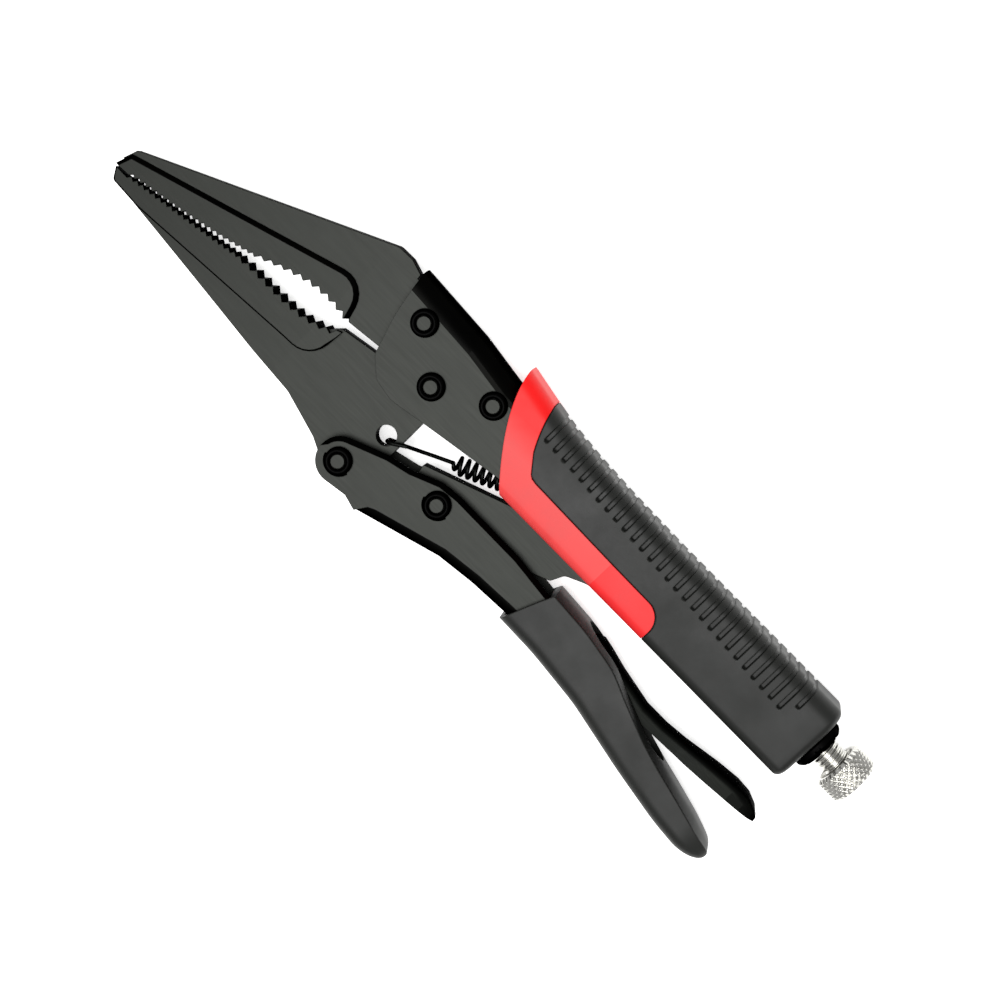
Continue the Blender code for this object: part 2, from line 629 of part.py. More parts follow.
def toggle_link():
    lean = math.degrees(math.atan(LINK_SLOPE))
    eye = arc(LINK_PIVOT, LINK_EYE_R, lean + 185, lean + 270, 10)
    end = arc(LINK_END, LINK_END_R, lean - 90, lean + 90, 10)
    outline = [(LINK_FRONT_X, link_line(LINK_FRONT_X) + LINK_HALF_HEIGHT - 0.3, 0.4)]
    outline += [(LINK_FRONT_X + 0.4, link_line(LINK_FRONT_X) + 5.0, 0)]
    outline += [(x, y, 0) for x, y in eye]
    outline += [(52.7, link_low_edge(52.7), 0.8), (54.3, link_line(54.3) - 2.7, 2.0)]
    outline += [(59.0, link_line(59.0) - 2.2, 0)]
    outline += [(x, y, 0) for x, y in end]
    outline += [(60.0, link_line(60.0) + 4.6, 0), (33.0, link_line(33.0) + LINK_HALF_HEIGHT, 0)]
    link = prism(rounded(outline), LINK_THICKNESS)
    boss = prism(arc(LINK_PIVOT, ARM_BOSS_R, 0, 360, 28)[:-1], ARM_BOSS_THICKNESS)
    combine(link, boss, "UNION")
    return drill(link, LINK_PIVOT, RIVET_HOLE_R)


def release_lever():
    nose_top = link_low_edge(50.0) - NOSE_GAP
    tops = [(49.0, nose_top - 0.8), (51.5, nose_top), (62.0, nose_top - 0.8), *RELEASE_TOP]
    widths = [(49.0, 3.8), (103.0, 3.8), (110.0, 5.0), (121.0, 5.6), (126.0, 4.6), (127.8, 3.4)]
    stations = [(x, y, between(widths, x), 12.0) for x, y in tops]
    shell = channel(stations, RELEASE_WALL, RELEASE_BEND_R, 1)
    side = [(48.0, nose_top + 9), (48.0, nose_top - 2.2), (56.0, nose_top - 4.2), (64.0, -21.0)]
    side += [(70.0, -24.0), (76.0, -24.6), (81.0, -22.6), *reversed(RELEASE_LOW)]
    side += [(130.0, -18.9), (130.0, -8.0)]
    combine(shell, prism(side, SLEEVE_WIDTH), "INTERSECT")
    return drill(shell, RELEASE_PIVOT, RELEASE_PIN_R + RUNNING_GAP)


def lever_sleeve():
    half = SLEEVE_WIDTH / 2
    stops = [(50.4, 5.6), (62.0, 2.0), (70.0, 0.0), (78.4, 0.0), (85.0, 0.0), (96.0, 0.0), (103.0, 0.0)]
    stops += [(110.0, 0.0), (118.0, 0.0)]
    sections = []
    for x, lean in stops:
        low = between(SLEEVE_LOW, x)
        high = between(SLEEVE_TOP, x + lean)
        sections.append(rounded_box_section(x, low, high, half, SLEEVE_LOW_R, SLEEVE_TOP_R, lean))
    for k in (1, 2, 3, 4):
        angle = math.radians(20 * k)
        x = 118.0 + (SLEEVE_END_X - 118.0) * math.sin(angle)
        low, high = between(SLEEVE_LOW, x), between(SLEEVE_TOP, x)
        middle, reach = (low + high) / 2, (high - low) / 2 * math.cos(angle)
        width = half * (0.45 + 0.55 * math.cos(angle))
        share = math.cos(angle)
        ring = (x, middle - reach, middle + reach, width, SLEEVE_LOW_R * share, SLEEVE_TOP_R * share)
        sections.append(rounded_box_section(*ring))
    shell = loft(sections)
    inside = LEVER_WIDTH / 2 + GAP
    pocket = []
    for x in (40.0, 51.0, 56.0, 62.0, 70.0, 78.0, 84.5, 95.5, 107.0, 117.5):
        end = GAP if x == 117.5 else 0.0
        low, high = between(LEVER_LOW, x) - GAP, between(LEVER_TOP, x) + GAP
        pocket.append(rounded_box_section(x + end, low, high, inside, LEVER_BEND_R, 0.3))
    combine(shell, loft(pocket), "DIFFERENCE")
    low = RELEASE_PIVOT[1] - 3
    slot = [(SLOT_START_X, low + 4), (SLOT_END_X, low - 5), (SLOT_END_X, -8.0), (SLOT_START_X, -8.0)]
    return combine(shell, prism(slot, LEVER_INSIDE), "DIFFERENCE")


# ---------------------------------------------------------------- spring

def spring_path():
    """Hook through the jaw's hole, straight leg, coil, and a hook over the anchor pin."""
    anchor = Vector((*ANCHOR_PIN, 0))
    over_pin = ANCHOR_PIN_R + WIRE_R + GAP
    coil_start = Vector((16.1, -10.5, 0))
    to_anchor = anchor + Vector((0, over_pin, 0)) - coil_start
    along = to_anchor.normalized()
    across = Vector((-along.y, along.x, 0))
    upward = Vector((0, 0, 1))
    side = FLANGE_THICKNESS / 2 + WIRE_R + 2 * GAP
    hole = Vector((*SPRING_HOLE, 0))
    bends = [(5.6, 2.0, side), (1.9, -0.5, side), (1.0, -0.9, side - 1), (1.0, -1.0, 1 - side)]
    bends += [(1.8, -0.8, -side), (4.2, 0.1, -side), (8.6, 2.6, -1.7), (12.0, 4.5, -0.7)]
    path = [hole + Vector(bend) for bend in bends]
    coil_length = to_anchor.length - 7.0
    turns = round(coil_length / COIL_PITCH)
    steps = 12 * turns
    for i in range(steps + 1):
        angle = 2 * math.pi * i / 12
        swell = min(1.0, i / 9, (steps - i) / 9)
        centre = coil_start + along * coil_length * i / steps
        path.append(centre + (across * math.cos(angle) + upward * math.sin(angle)) * COIL_R * swell)
    lean = math.degrees(math.atan2(along.y, along.x))
    hook = arc(ANCHOR_PIN, over_pin, 90 + lean, -120, 10)
    return path + [Vector((x, y, 0)) for x, y in hook]


def tension_spring():
    curve = bpy.data.curves.new("tension_spring", "CURVE")
    curve.dimensions = "3D"
    curve.bevel_depth = WIRE_R
    curve.bevel_resolution = 1
    curve.use_fill_caps = True
    path = spring_path()
    wire = curve.splines.new("POLY")
    wire.points.add(len(path) - 1)
    for point, place in zip(wire.points, path):
        point.co = (*place, 1)
    guide = bpy.data.objects.new("guide", curve)
    bpy.context.scene.collection.objects.link(guide)
    bpy.context.view_layer.update()
    graph = bpy.context.evaluated_depsgraph_get()
    mesh = bpy.data.meshes.new_from_object(guide.evaluated_get(graph))
    bpy.data.objects.remove(guide)
    bm = bmesh.new()
    bm.from_mesh(mesh)
    bmesh.ops.remove_doubles(bm, verts=bm.verts[:], dist=0.01)
    return as_object(bm)


# ---------------------------------------------------------------- the tool

def set_down(tool):
    """Stands the tool on z = 0 with the centre of its footprint at the origin."""
    bpy.context.view_layer.update()
    corners = []
    for shape in bpy.data.objects:
        if shape.type == "MESH":
            corners += [shape.matrix_world @ vertex.co for vertex in shape.data.vertices]
    low = [min(c[k] for c in corners) for k in range(3)]
    high = [max(c[k] for c in corners) for k in range(3)]
    tool.location -= Vector(((low[0] + high[0]) / 2, (low[1] + high[1]) / 2, low[2]))


def build():
    for old in list(bpy.data.objects):
        bpy.data.objects.remove(old)
    steel = finish("black_oxide_steel", (0.075, 0.078, 0.073), 0.42, 0.85)
    dark_steel = finish("dark_steel", (0.02, 0.02, 0.02), 0.38, 0.8)
    plain_steel = finish("zinc_plated_steel", (0.55, 0.55, 0.53), 0.28, 1.0)
    black_rubber = finish("black_elastomer", (0.045, 0.046, 0.045), 0.62, 0.0)
    red_rubber = finish("red_elastomer", (0.9, 0.06, 0.06), 0.5, 0.0)

    tool = body("pliers", None, JAW_PIVOT)
    jaw = body("movable_jaw_axis", tool, JAW_PIVOT)
    lever = body("lever_axis", jaw, LEVER_PIVOT)
    link = body("toggle_link_axis", lever, LINK_PIVOT)
    release = body("release_lever_axis", lever, RELEASE_PIVOT)
    screw = body("screw_axis", tool, (ROD_TIP_X, SCREW_Y))
    knob = body("knob_axis", screw, (KNOB_START_X, SCREW_Y))

    piece("handle_channel", handle_channel(), tool, steel)
    piece("fixed_jaw", fixed_jaw(), tool, steel)
    piece("fixed_jaw_rivet_front", rivet(FRONT_RIVET, CHANNEL_WIDTH), tool, dark_steel)
    piece("fixed_jaw_rivet_rear", rivet(REAR_RIVET, CHANNEL_WIDTH), tool, dark_steel)
    piece("jaw_pivot_rivet", rivet(JAW_PIVOT, CHANNEL_WIDTH), tool, dark_steel)
    piece("spring_anchor_pin", cross_pin(ANCHOR_PIN, ANCHOR_PIN_R, CHANNEL_WIDTH), tool, dark_steel)
    piece("tension_spring", tension_spring(), tool, dark_steel)
    piece("handle_grip", handle_grip(), tool, black_rubber)
    piece("handle_grip_band", handle_grip_band(), tool, red_rubber)
    piece("screw_boss", screw_boss(), tool, plain_steel)
    piece("end_collar", end_collar(), tool, dark_steel)
    piece("movable_jaw", movable_jaw(), jaw, steel)
    piece("lever_channel", lever_channel(), lever, steel)
    piece("jaw_lever_rivet", rivet(LEVER_PIVOT, LEVER_WIDTH), lever, dark_steel)
    piece("link_rivet", rivet(LINK_PIVOT, LEVER_WIDTH), lever, dark_steel)
    piece("release_pivot_pin", cross_pin(RELEASE_PIVOT, RELEASE_PIN_R, LEVER_WIDTH), lever, dark_steel)
    piece("lever_sleeve", lever_sleeve(), lever, black_rubber)
    piece("toggle_link", toggle_link(), link, steel)
    piece("release_lever", release_lever(), release, dark_steel)
    piece("adjusting_screw", adjusting_screw(), screw, plain_steel)
    piece("adjusting_knob", adjusting_knob(), knob, plain_steel)
    set_down(tool)


build()
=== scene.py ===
# %% [markdown]
# # Long-nose locking pliers
#
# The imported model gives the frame: every piece is already in place and moves with its own
# body. Each cell below takes one part of the tool, says what it is in real life, and makes
# its visible surface. All lengths are in millimetres about the jaw's pivot, on the tool's
# mid-plane, until one function at the very end of each shape turns them into metres.

# %% Load the frame
import json
import math

import bmesh
import bpy
import numpy as np
from mathutils import Matrix, Vector
from mathutils.geometry import tessellate_polygon


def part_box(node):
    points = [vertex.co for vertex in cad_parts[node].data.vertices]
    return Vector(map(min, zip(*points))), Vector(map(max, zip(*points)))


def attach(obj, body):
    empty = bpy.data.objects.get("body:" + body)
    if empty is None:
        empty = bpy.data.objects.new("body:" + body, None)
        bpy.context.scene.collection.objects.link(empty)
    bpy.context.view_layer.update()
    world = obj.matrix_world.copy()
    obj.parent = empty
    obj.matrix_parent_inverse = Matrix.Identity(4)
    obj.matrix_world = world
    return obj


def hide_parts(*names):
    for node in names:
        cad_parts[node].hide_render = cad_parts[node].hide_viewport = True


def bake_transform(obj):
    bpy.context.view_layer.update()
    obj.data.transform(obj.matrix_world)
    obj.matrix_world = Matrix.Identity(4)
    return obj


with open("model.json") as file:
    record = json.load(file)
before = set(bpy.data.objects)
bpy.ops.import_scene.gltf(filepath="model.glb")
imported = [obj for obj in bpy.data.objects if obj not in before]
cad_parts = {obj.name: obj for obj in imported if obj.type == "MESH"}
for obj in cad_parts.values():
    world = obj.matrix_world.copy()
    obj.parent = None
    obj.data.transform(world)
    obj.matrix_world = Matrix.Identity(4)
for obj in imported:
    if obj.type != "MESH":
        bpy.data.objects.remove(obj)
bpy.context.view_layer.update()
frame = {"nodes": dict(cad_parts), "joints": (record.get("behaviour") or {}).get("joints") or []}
MM = 0.001
joints = {joint["name"]: joint for joint in frame["joints"]}
origin = np.array(joints["jaw_pivot"]["pos_m"])


def to_local(point):
    """A point of the frame, in millimetres about the jaw's pivot."""
    return (np.array(point) - origin) / MM


def node_box(name):
    """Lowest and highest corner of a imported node, in millimetres about the jaw's pivot."""
    low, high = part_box(name)
    return to_local(low), to_local(high)


def pivot(name):
    """Where a joint's axis crosses the mid-plane, as (x, y)."""
    return to_local(joints[name]["pos_m"])[:2]


print("lever pivot", pivot("lever_pivot").round(1), "link pivot", pivot("link_pivot").round(1))

# %% [markdown]
# ## Camera, light and floor
#
# A small flat tool is shown from nearly straight above through a long lens, under one round
# soft box, on a light table: a white acrylic sheet that is lit from below as well, so the
# gaps of the tool stay white. The soft box is what gives dark steel an even grey face. The
# face mirrors the box, while the edges face past it and go black. The camera leans a little
# to the handle's spine and is rolled so the tool lies diagonally.

# %% Camera
VIEW_LEAN = math.radians(10.6)
VIEW_ROLL = math.radians(-45.5)
VIEW_DISTANCE = 540.0
VIEW_WIDTH = 237.6
VIEW_AIM = np.array([28.8, -8.5, 0.0])
SENSOR = 36.0

back = np.array([0.0, math.sin(VIEW_LEAN), math.cos(VIEW_LEAN)])
across = np.array([1.0, 0.0, 0.0])
upward = np.cross(back, across)
right = math.cos(VIEW_ROLL) * across - math.sin(VIEW_ROLL) * upward
top = math.sin(VIEW_ROLL) * across + math.cos(VIEW_ROLL) * upward
camera_data = bpy.data.cameras.new("camera")
camera_data.sensor_width = SENSOR
camera_data.lens = SENSOR * VIEW_DISTANCE / VIEW_WIDTH
camera = bpy.data.objects.new("camera", camera_data)
bpy.context.scene.collection.objects.link(camera)
turn = Matrix(np.column_stack([right, top, back]).tolist()).to_4x4()
spot = Vector(((VIEW_AIM + VIEW_DISTANCE * back) * MM + origin).tolist())
camera.matrix_world = Matrix.Translation(spot) @ turn
bpy.context.scene.camera = camera
print("lens", round(camera_data.lens, 1), "mm")

# %% Soft box and room
bpy.context.scene.view_settings.view_transform = "Standard"


def soft_box(name, place, size, power):
    """A round light panel that faces the tool, placed in metres about the tool's middle."""
    light = bpy.data.lights.new(name, "AREA")
    light.shape = "DISK"
    light.size = size
    light.energy = power
    lamp = bpy.data.objects.new(name, light)
    lamp.location = place
    lamp.rotation_euler = Vector(place).to_track_quat("Z", "Y").to_euler()
    bpy.context.scene.collection.objects.link(lamp)
    return lamp


soft_box("overhead_box", (0.0, -0.08, 1.0), 0.72, 10.2)
world = bpy.data.worlds.new("room")
world.use_nodes = True
world.node_tree.nodes["Background"].inputs["Color"].default_value = (1, 1, 1, 1)
world.node_tree.nodes["Background"].inputs["Strength"].default_value = 0.5
bpy.context.scene.world = world

# %% [markdown]
# ## Small tools for materials
#
# Every finish starts from what the real surface is and how it was made. One function adds a
# node with its settings and links; another turns the hex colours that a colour picker gives
# into the linear numbers that a shader wants.


# %% Material helpers
def linear(code):
    """An sRGB hex colour such as "#1a1b1c" as linear RGBA."""
    channels = [int(code[i:i + 2], 16) / 255 for i in (1, 3, 5)]
    return (*[c / 12.92 if c <= 0.04045 else ((c + 0.055) / 1.055) ** 2.4 for c in channels], 1.0)


def add(tree, kind, settings=None, sockets=None):
    """Adds a node. settings are its properties; sockets give each input a value or a link."""
    new = tree.nodes.new("ShaderNode" + kind)
    for key, value in (settings or {}).items():
        setattr(new, key, value)
    for key, value in (sockets or {}).items():
        if isinstance(value, bpy.types.NodeSocket):
            tree.links.new(value, new.inputs[key])
        else:
            new.inputs[key].default_value = value
    return new


def ramp(tree, factor, stops):
    """A colour ramp; stops are (position, linear colour)."""
    new = add(tree, "ValToRGB", sockets={"Fac": factor})
    elements = new.color_ramp.elements
    while len(elements) < len(stops):
        elements.new(0.5)
    for element, (position, colour) in zip(elements, stops):
        element.position = position
        element.color = colour
    return new.outputs["Color"]


def blank(name):
    """A material with its tree, its Principled shader, and object coordinates in millimetres."""
    material = bpy.data.materials.new(name)
    material.use_nodes = True
    tree = material.node_tree
    shader = tree.nodes["Principled BSDF"]
    place = add(tree, "TexCoord").outputs["Object"]
    scaled = add(tree, "VectorMath", {"operation": "SCALE"}, {0: place, "Scale": 1 / MM})
    return material, tree, shader, scaled.outputs["Vector"]


def edge_mask(tree, radius, gain):
    """1 on edges sharper than the radius in millimetres, 0 on flats: two normals compared."""
    soft = add(tree, "Bevel", {"samples": 6}, {"Radius": radius * MM}).outputs["Normal"]
    true = add(tree, "NewGeometry").outputs["Normal"]
    match = add(tree, "VectorMath", {"operation": "DOT_PRODUCT"}, {0: soft, 1: true})
    miss = add(tree, "Math", {"operation": "SUBTRACT"}, {0: 1.0, 1: match.outputs["Value"]}).outputs[0]
    scaled = add(tree, "Math", {"operation": "MULTIPLY", "use_clamp": True}, {0: miss, 1: gain})
    return scaled.outputs[0]


# %% [markdown]
# ## Finishes
#
# **Black-oxide steel.** Jaws and handles are pressed or forged steel, ground flat and then
# blackened in a hot salt bath. The bath leaves the grinding lines visible, so the finish is
# a dark metal with very fine lines along the tool, a faint cloudiness, and edges worn a
# little brighter. Grinding lines are about 0.1 mm apart; they are drawn 0.3 mm apart, as
# coarse as they need to be to show. Oxide is porous and soaks up glancing light, so walls
# seen edge-on stay black: the metal's tint at glancing angles is near zero.


# %% Black-oxide steel
GRIND_SPACING = 0.3
GRIND_STRETCH = (0.035, 1.0, 1.0)
GRIND_DEPTH = 0.02
CLOUD_SIZE = 14.0
WORN_EDGE = 0.35
WORN_GAIN = 2.2
WORN_PATCH = 2.0
STEEL_EDGE_R = 0.25
OXIDE_GRAZING = (0.04, 0.04, 0.04, 1.0)


def black_oxide_steel(name, low, high, rough_low, rough_high, worn, wear):
    material, tree, shader, place = blank(name)
    drawn_out = add(tree, "VectorMath", {"operation": "MULTIPLY"}, {0: place, 1: GRIND_STRETCH})
    lines = add(tree, "TexNoise", {}, {"Vector": drawn_out.outputs[0], "Scale": 1 / GRIND_SPACING,
                                       "Detail": 3.0})
    cloud = add(tree, "TexNoise", {}, {"Vector": place, "Scale": 1 / CLOUD_SIZE, "Detail": 4.0,
                                       "Roughness": 0.6})
    shade = ramp(tree, cloud.outputs["Fac"], [(0.3, linear(low)), (0.7, linear(high))])
    edge = edge_mask(tree, WORN_EDGE, WORN_GAIN)
    patchy = add(tree, "TexNoise", {}, {"Vector": place, "Scale": 1 / WORN_PATCH, "Detail": 2.0})
    patches = add(tree, "Math", {"operation": "MULTIPLY"}, {0: edge, 1: patchy.outputs["Fac"]})
    strength = add(tree, "Math", {"operation": "MULTIPLY"}, {0: patches.outputs[0], 1: wear})
    colour = add(tree, "Mix", {"data_type": "RGBA"}, {"Factor": strength.outputs[0], "A": shade,
                                                      "B": linear(worn)})
    tree.links.new(colour.outputs["Result"], shader.inputs["Base Color"])
    mixed = add(tree, "Math", {"operation": "ADD"}, {0: lines.outputs["Fac"], 1: cloud.outputs["Fac"]})
    spread = add(tree, "MapRange", {}, {"Value": mixed.outputs[0], "From Min": 0.7, "From Max": 1.3,
                                        "To Min": rough_low, "To Max": rough_high})
    tree.links.new(spread.outputs["Result"], shader.inputs["Roughness"])
    rounded_edge = add(tree, "Bevel", {"samples": 4}, {"Radius": STEEL_EDGE_R * MM})
    bump = add(tree, "Bump", {}, {"Strength": 0.05, "Distance": GRIND_DEPTH * MM,
                                  "Height": lines.outputs["Fac"],
                                  "Normal": rounded_edge.outputs["Normal"]})
    tree.links.new(bump.outputs["Normal"], shader.inputs["Normal"])
    shader.inputs["Metallic"].default_value = 1.0
    shader.inputs["Specular Tint"].default_value = OXIDE_GRAZING
    return material


STEEL = black_oxide_steel(
    "black_oxide_steel", "#272826", "#2b2c2a", 0.42, 0.49, "#5c5b58", 0.3)
# Near-black steel: the own colour of the pins and the collar, and painted shade on the rivets' rolled
# rings.
BLACK_STEEL_AND_RIM_SHADE = black_oxide_steel(
    "blackened_steel_and_painted_rivet_shade", "#060606", "#090909", 0.36, 0.46, "#2a2a28", 0.3)
SPRING_STEEL = black_oxide_steel(
    "oil_blackened_spring_wire", "#0e0f0e", "#161716", 0.28, 0.4, "#4a4a48", 0.4)
DARK_STEEL = black_oxide_steel(
    "blackened_pressed_steel", "#0f100f", "#141513", 0.34, 0.46, "#3a3a38", 0.3)
# Painted shade: a near-black steel for the bends, walls and rounded edges of the steel pieces, where their
# faces turn from the light.
PAINTED_SHADE_STEEL = black_oxide_steel(
    "black_oxide_painted_shade", "#060606", "#0a0a09", 0.3, 0.4, "#1c1c1b", 0.3)

# %% [markdown]
# **Bright plated steel.** The screw and its knob are turned steel with a thin bright zinc
# plating: nearly mirror smooth, with a hair of turning marks around the axis.


# %% Zinc-plated steel
TURNING_STRETCH = (6.0, 0.4, 0.4)
TURNING_DEPTH = 0.02


def zinc_plated_steel():
    material, tree, shader, place = blank("zinc_plated_steel")
    drawn_out = add(tree, "VectorMath", {"operation": "MULTIPLY"}, {0: place, 1: TURNING_STRETCH})
    marks = add(tree, "TexNoise", {}, {"Vector": drawn_out.outputs[0], "Scale": 1.0, "Detail": 2.0})
    shade = ramp(tree, marks.outputs["Fac"], [(0.3, linear("#b9b8b3")), (0.7, linear("#d6d5d0"))])
    tree.links.new(shade, shader.inputs["Base Color"])
    spread = add(tree, "MapRange", {}, {"Value": marks.outputs["Fac"], "To Min": 0.16, "To Max": 0.32})
    tree.links.new(spread.outputs["Result"], shader.inputs["Roughness"])
    bump = add(tree, "Bump", {}, {"Strength": 0.2, "Distance": TURNING_DEPTH * MM,
                                  "Height": marks.outputs["Fac"]})
    tree.links.new(bump.outputs["Normal"], shader.inputs["Normal"])
    shader.inputs["Metallic"].default_value = 1.0
    return material


BRIGHT = zinc_plated_steel()

# %% [markdown]
# **Moulded elastomer.** The grip and the sleeve are a soft thermoplastic rubber moulded over
# the steel. The mould is spark-eroded, which prints a fine matte grain of about 0.2 mm; it
# is drawn 0.35 mm wide. Rubbed places are slightly smoother than the rest.


# %% Moulded elastomer
GRAIN_SIZE = 0.35
GRAIN_DEPTH = 0.03
RUB_SIZE = 16.0
RUBBER_EDGE_R = 0.35


def moulded_elastomer(name, stops, along, rough_low, rough_high, specular):
    """stops colour the piece along a direction (x, y) in the tool's plane, in millimetres."""
    material, tree, shader, place = blank(name)
    grain = add(tree, "TexNoise", {}, {"Vector": place, "Scale": 1 / GRAIN_SIZE, "Detail": 2.0})
    rubbed = add(tree, "TexNoise", {}, {"Vector": place, "Scale": 1 / RUB_SIZE, "Detail": 5.0,
                                        "Roughness": 0.65})
    reach = add(tree, "VectorMath", {"operation": "DOT_PRODUCT"}, {0: place, 1: (*along, 0.0)})
    low, high = stops[0][0], stops[-1][0]
    share = add(tree, "MapRange", {}, {"Value": reach.outputs["Value"], "From Min": low, "From Max": high})
    colours = [((at - low) / (high - low), linear(code)) for at, code in stops]
    shade = ramp(tree, share.outputs["Result"], colours)
    dust = add(tree, "MapRange", {}, {"Value": rubbed.outputs["Fac"], "From Min": 0.3, "From Max": 0.7,
                                      "To Min": 0.9, "To Max": 1.1})
    tone = add(tree, "VectorMath", {"operation": "SCALE"}, {0: shade, "Scale": dust.outputs["Result"]})
    tree.links.new(tone.outputs["Vector"], shader.inputs["Base Color"])
    spread = add(tree, "MapRange", {}, {"Value": rubbed.outputs["Fac"], "From Min": 0.3, "From Max": 0.7,
                                        "To Min": rough_low, "To Max": rough_high})
    tree.links.new(spread.outputs["Result"], shader.inputs["Roughness"])
    rounded_edge = add(tree, "Bevel", {"samples": 4}, {"Radius": RUBBER_EDGE_R * MM})
    bump = add(tree, "Bump", {}, {"Strength": 0.25, "Distance": GRAIN_DEPTH * MM,
                                  "Height": grain.outputs["Fac"],
                                  "Normal": rounded_edge.outputs["Normal"]})
    tree.links.new(bump.outputs["Normal"], shader.inputs["Normal"])
    shader.inputs["Specular IOR Level"].default_value = specular
    return material


BLACK_STOPS = [(-200, "#181917"), (200, "#181917")]
BLACK_RUBBER = moulded_elastomer("black_elastomer", BLACK_STOPS, (1, 0), 0.42, 0.56, 0.25)
# The red deepens towards the spine, over the rounded crown: painted shade where the crown turns from the
# light.
RED_CROWN_SHADE_STOPS = [(-8, "#d23a3a"), (12, "#d63f3e"), (19, "#d80a0a")]
RED_RUBBER = moulded_elastomer("red_elastomer", RED_CROWN_SHADE_STOPS, (0, 1), 0.42, 0.52, 0.25)
TAIL_STOPS = [(-200, "#d82426"), (200, "#d82426")]
RED_TAIL = moulded_elastomer("deeper_red_tail_elastomer", TAIL_STOPS, (1, 0), 0.42, 0.52, 0.25)
TAIL_START = 60.0

# %% Floor
floor_material, _, floor_shader, _ = blank("matte_acrylic_light_table")
floor_shader.inputs["Base Color"].default_value = linear("#fbfbf9")
floor_shader.inputs["Roughness"].default_value = 0.95
floor_shader.inputs["Specular IOR Level"].default_value = 0.1
floor_shader.inputs["Emission Color"].default_value = (1.0, 1.0, 1.0, 1.0)
floor_shader.inputs["Emission Strength"].default_value = 0.6
floor_mesh = bpy.data.meshes.new("floor")
FLOOR_HALF = 3.0
floor_corners = [(x * FLOOR_HALF, y * FLOOR_HALF, 0) for x, y in ((-1, -1), (1, -1), (1, 1), (-1, 1))]
floor_mesh.from_pydata(floor_corners, [], [(0, 1, 2, 3)])
floor_mesh.materials.append(floor_material)
floor = bpy.data.objects.new("floor", floor_mesh)
bpy.context.scene.collection.objects.link(floor)

# %% [markdown]
# ## Small tools for shapes
#
# Most pieces are sheets: a grid of points worked out as one array. A sheet that closes on
# itself in one direction is a tube, and one that closes in both is a ring. Hollows are then
# taken out of a closed shape with a boolean cut.


# %% Shape helpers
def grid_faces(rows, columns, wrap_rows=False, wrap_columns=False, start=0):
    """Quads of a grid of points numbered row by row; a wrapped direction joins last to first."""
    i = np.arange(rows if wrap_rows else rows - 1)
    j = np.arange(columns if wrap_columns else columns - 1)
    a, b = np.meshgrid(i, j, indexing="ij")
    c, d = (a + 1) % rows, (b + 1) % columns
    corners = np.stack([a * columns + b, c * columns + b, c * columns + d, a * columns + d], axis=-1)
    return corners.reshape(-1, 4) + start


def tube(sections):
    """A closed skin over rings (rings, points, 3), each end shrunk to its middle point."""
    rings, count, _ = sections.shape
    ends = [sections[0].mean(0)[None], sections[-1].mean(0)[None]]
    points = np.concatenate([sections.reshape(-1, 3), *ends])
    faces = grid_faces(rings, count, wrap_columns=True).tolist()
    here = np.arange(count)
    beyond = (here + 1) % count
    last = (rings - 1) * count
    faces += np.stack([beyond, here, np.full(count, rings * count)], axis=1).tolist()
    faces += np.stack([last + here, last + beyond, np.full(count, rings * count + 1)], axis=1).tolist()
    return points, faces


def ring_tube(sections):
    """A skin over rings whose last ring joins the first, as on a washer."""
    rings, count, _ = sections.shape
    return sections.reshape(-1, 3), grid_faces(rings, count, True, True).tolist()


def turned(profile, sides, centre, axis="X"):
    """Rings of a profile of (along, radius) about an axis; centre is the axis' origin."""
    along, radius = np.array(profile, dtype=float).T
    angle = np.arange(sides) * 2 * math.pi / sides
    first = np.repeat(along[:, None], sides, axis=1)
    second = radius[:, None] * np.cos(angle)[None]
    third = radius[:, None] * np.sin(angle)[None]
    order = (first, second, third) if axis == "X" else (second, third, first)
    return np.stack(order, axis=-1) + np.array(centre, dtype=float)


def outline_arc(centre, radius, start, end, steps):
    """Points on a circle from one angle to another, in degrees."""
    angle = np.radians(np.linspace(start, end, steps + 1))
    return np.stack([centre[0] + radius * np.cos(angle), centre[1] + radius * np.sin(angle)], axis=1)


def prism(outline, low, high):
    """A flat-ended block over an outline, between two heights."""
    outline = np.array(outline, dtype=float)
    count = len(outline)
    levels = [np.column_stack([outline, np.full(count, z)]) for z in (low, high)]
    points = np.concatenate(levels)
    cap = np.array(tessellate_polygon([[Vector((*p, 0)) for p in outline]]))
    faces = grid_faces(2, count, wrap_columns=True).tolist()
    return points, faces + cap.tolist() + (cap[:, ::-1] + count).tolist()


def solid(name, points, faces):
    """A mesh object from points in millimetres about the jaw's pivot, its faces turned outwards."""
    mesh = bpy.data.meshes.new(name)
    mesh.from_pydata((np.asarray(points) * MM + origin).tolist(), [], faces)
    bm = bmesh.new()
    bm.from_mesh(mesh)
    bmesh.ops.remove_doubles(bm, verts=bm.verts[:], dist=1e-7)
    bmesh.ops.recalc_face_normals(bm, faces=bm.faces[:])
    bm.to_mesh(mesh)
    bm.free()
    shape = bpy.data.objects.new(name, mesh)
    bpy.context.scene.collection.objects.link(shape)
    return shape


def combine(shape, tool, operation):
    """Cuts, joins or keeps the common part of two closed shapes; the tool is used up."""
    step = shape.modifiers.new("combine", "BOOLEAN")
    step.solver = "MANIFOLD"
    step.operation = operation
    step.object = tool
    bpy.context.view_layer.update()
    graph = bpy.context.evaluated_depsgraph_get()
    mesh = bpy.data.meshes.new_from_object(shape.evaluated_get(graph))
    shape.modifiers.clear()
    shape.data = mesh
    bpy.data.objects.remove(tool)
    return shape


def present(shape, body, materials, replaced, crease=35.0, bend=None):
    """Finishing touches: materials, smooth shading up to a crease angle, and body.

    A piece that bends across a joint is given as two bodies and a bend; it is only baked in
    place, and neither the bodies nor the bend's two ends are used.
    """
    shape.data.materials.clear()
    for material in materials:
        shape.data.materials.append(material)
    shape.data.shade_smooth()
    shape.data.set_sharp_from_angle(angle=math.radians(crease))
    if bend:
        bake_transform(shape)
    else:
        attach(shape, body)
    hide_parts(*replaced)
    print(shape.name, len(shape.data.polygons), "faces")
    return shape
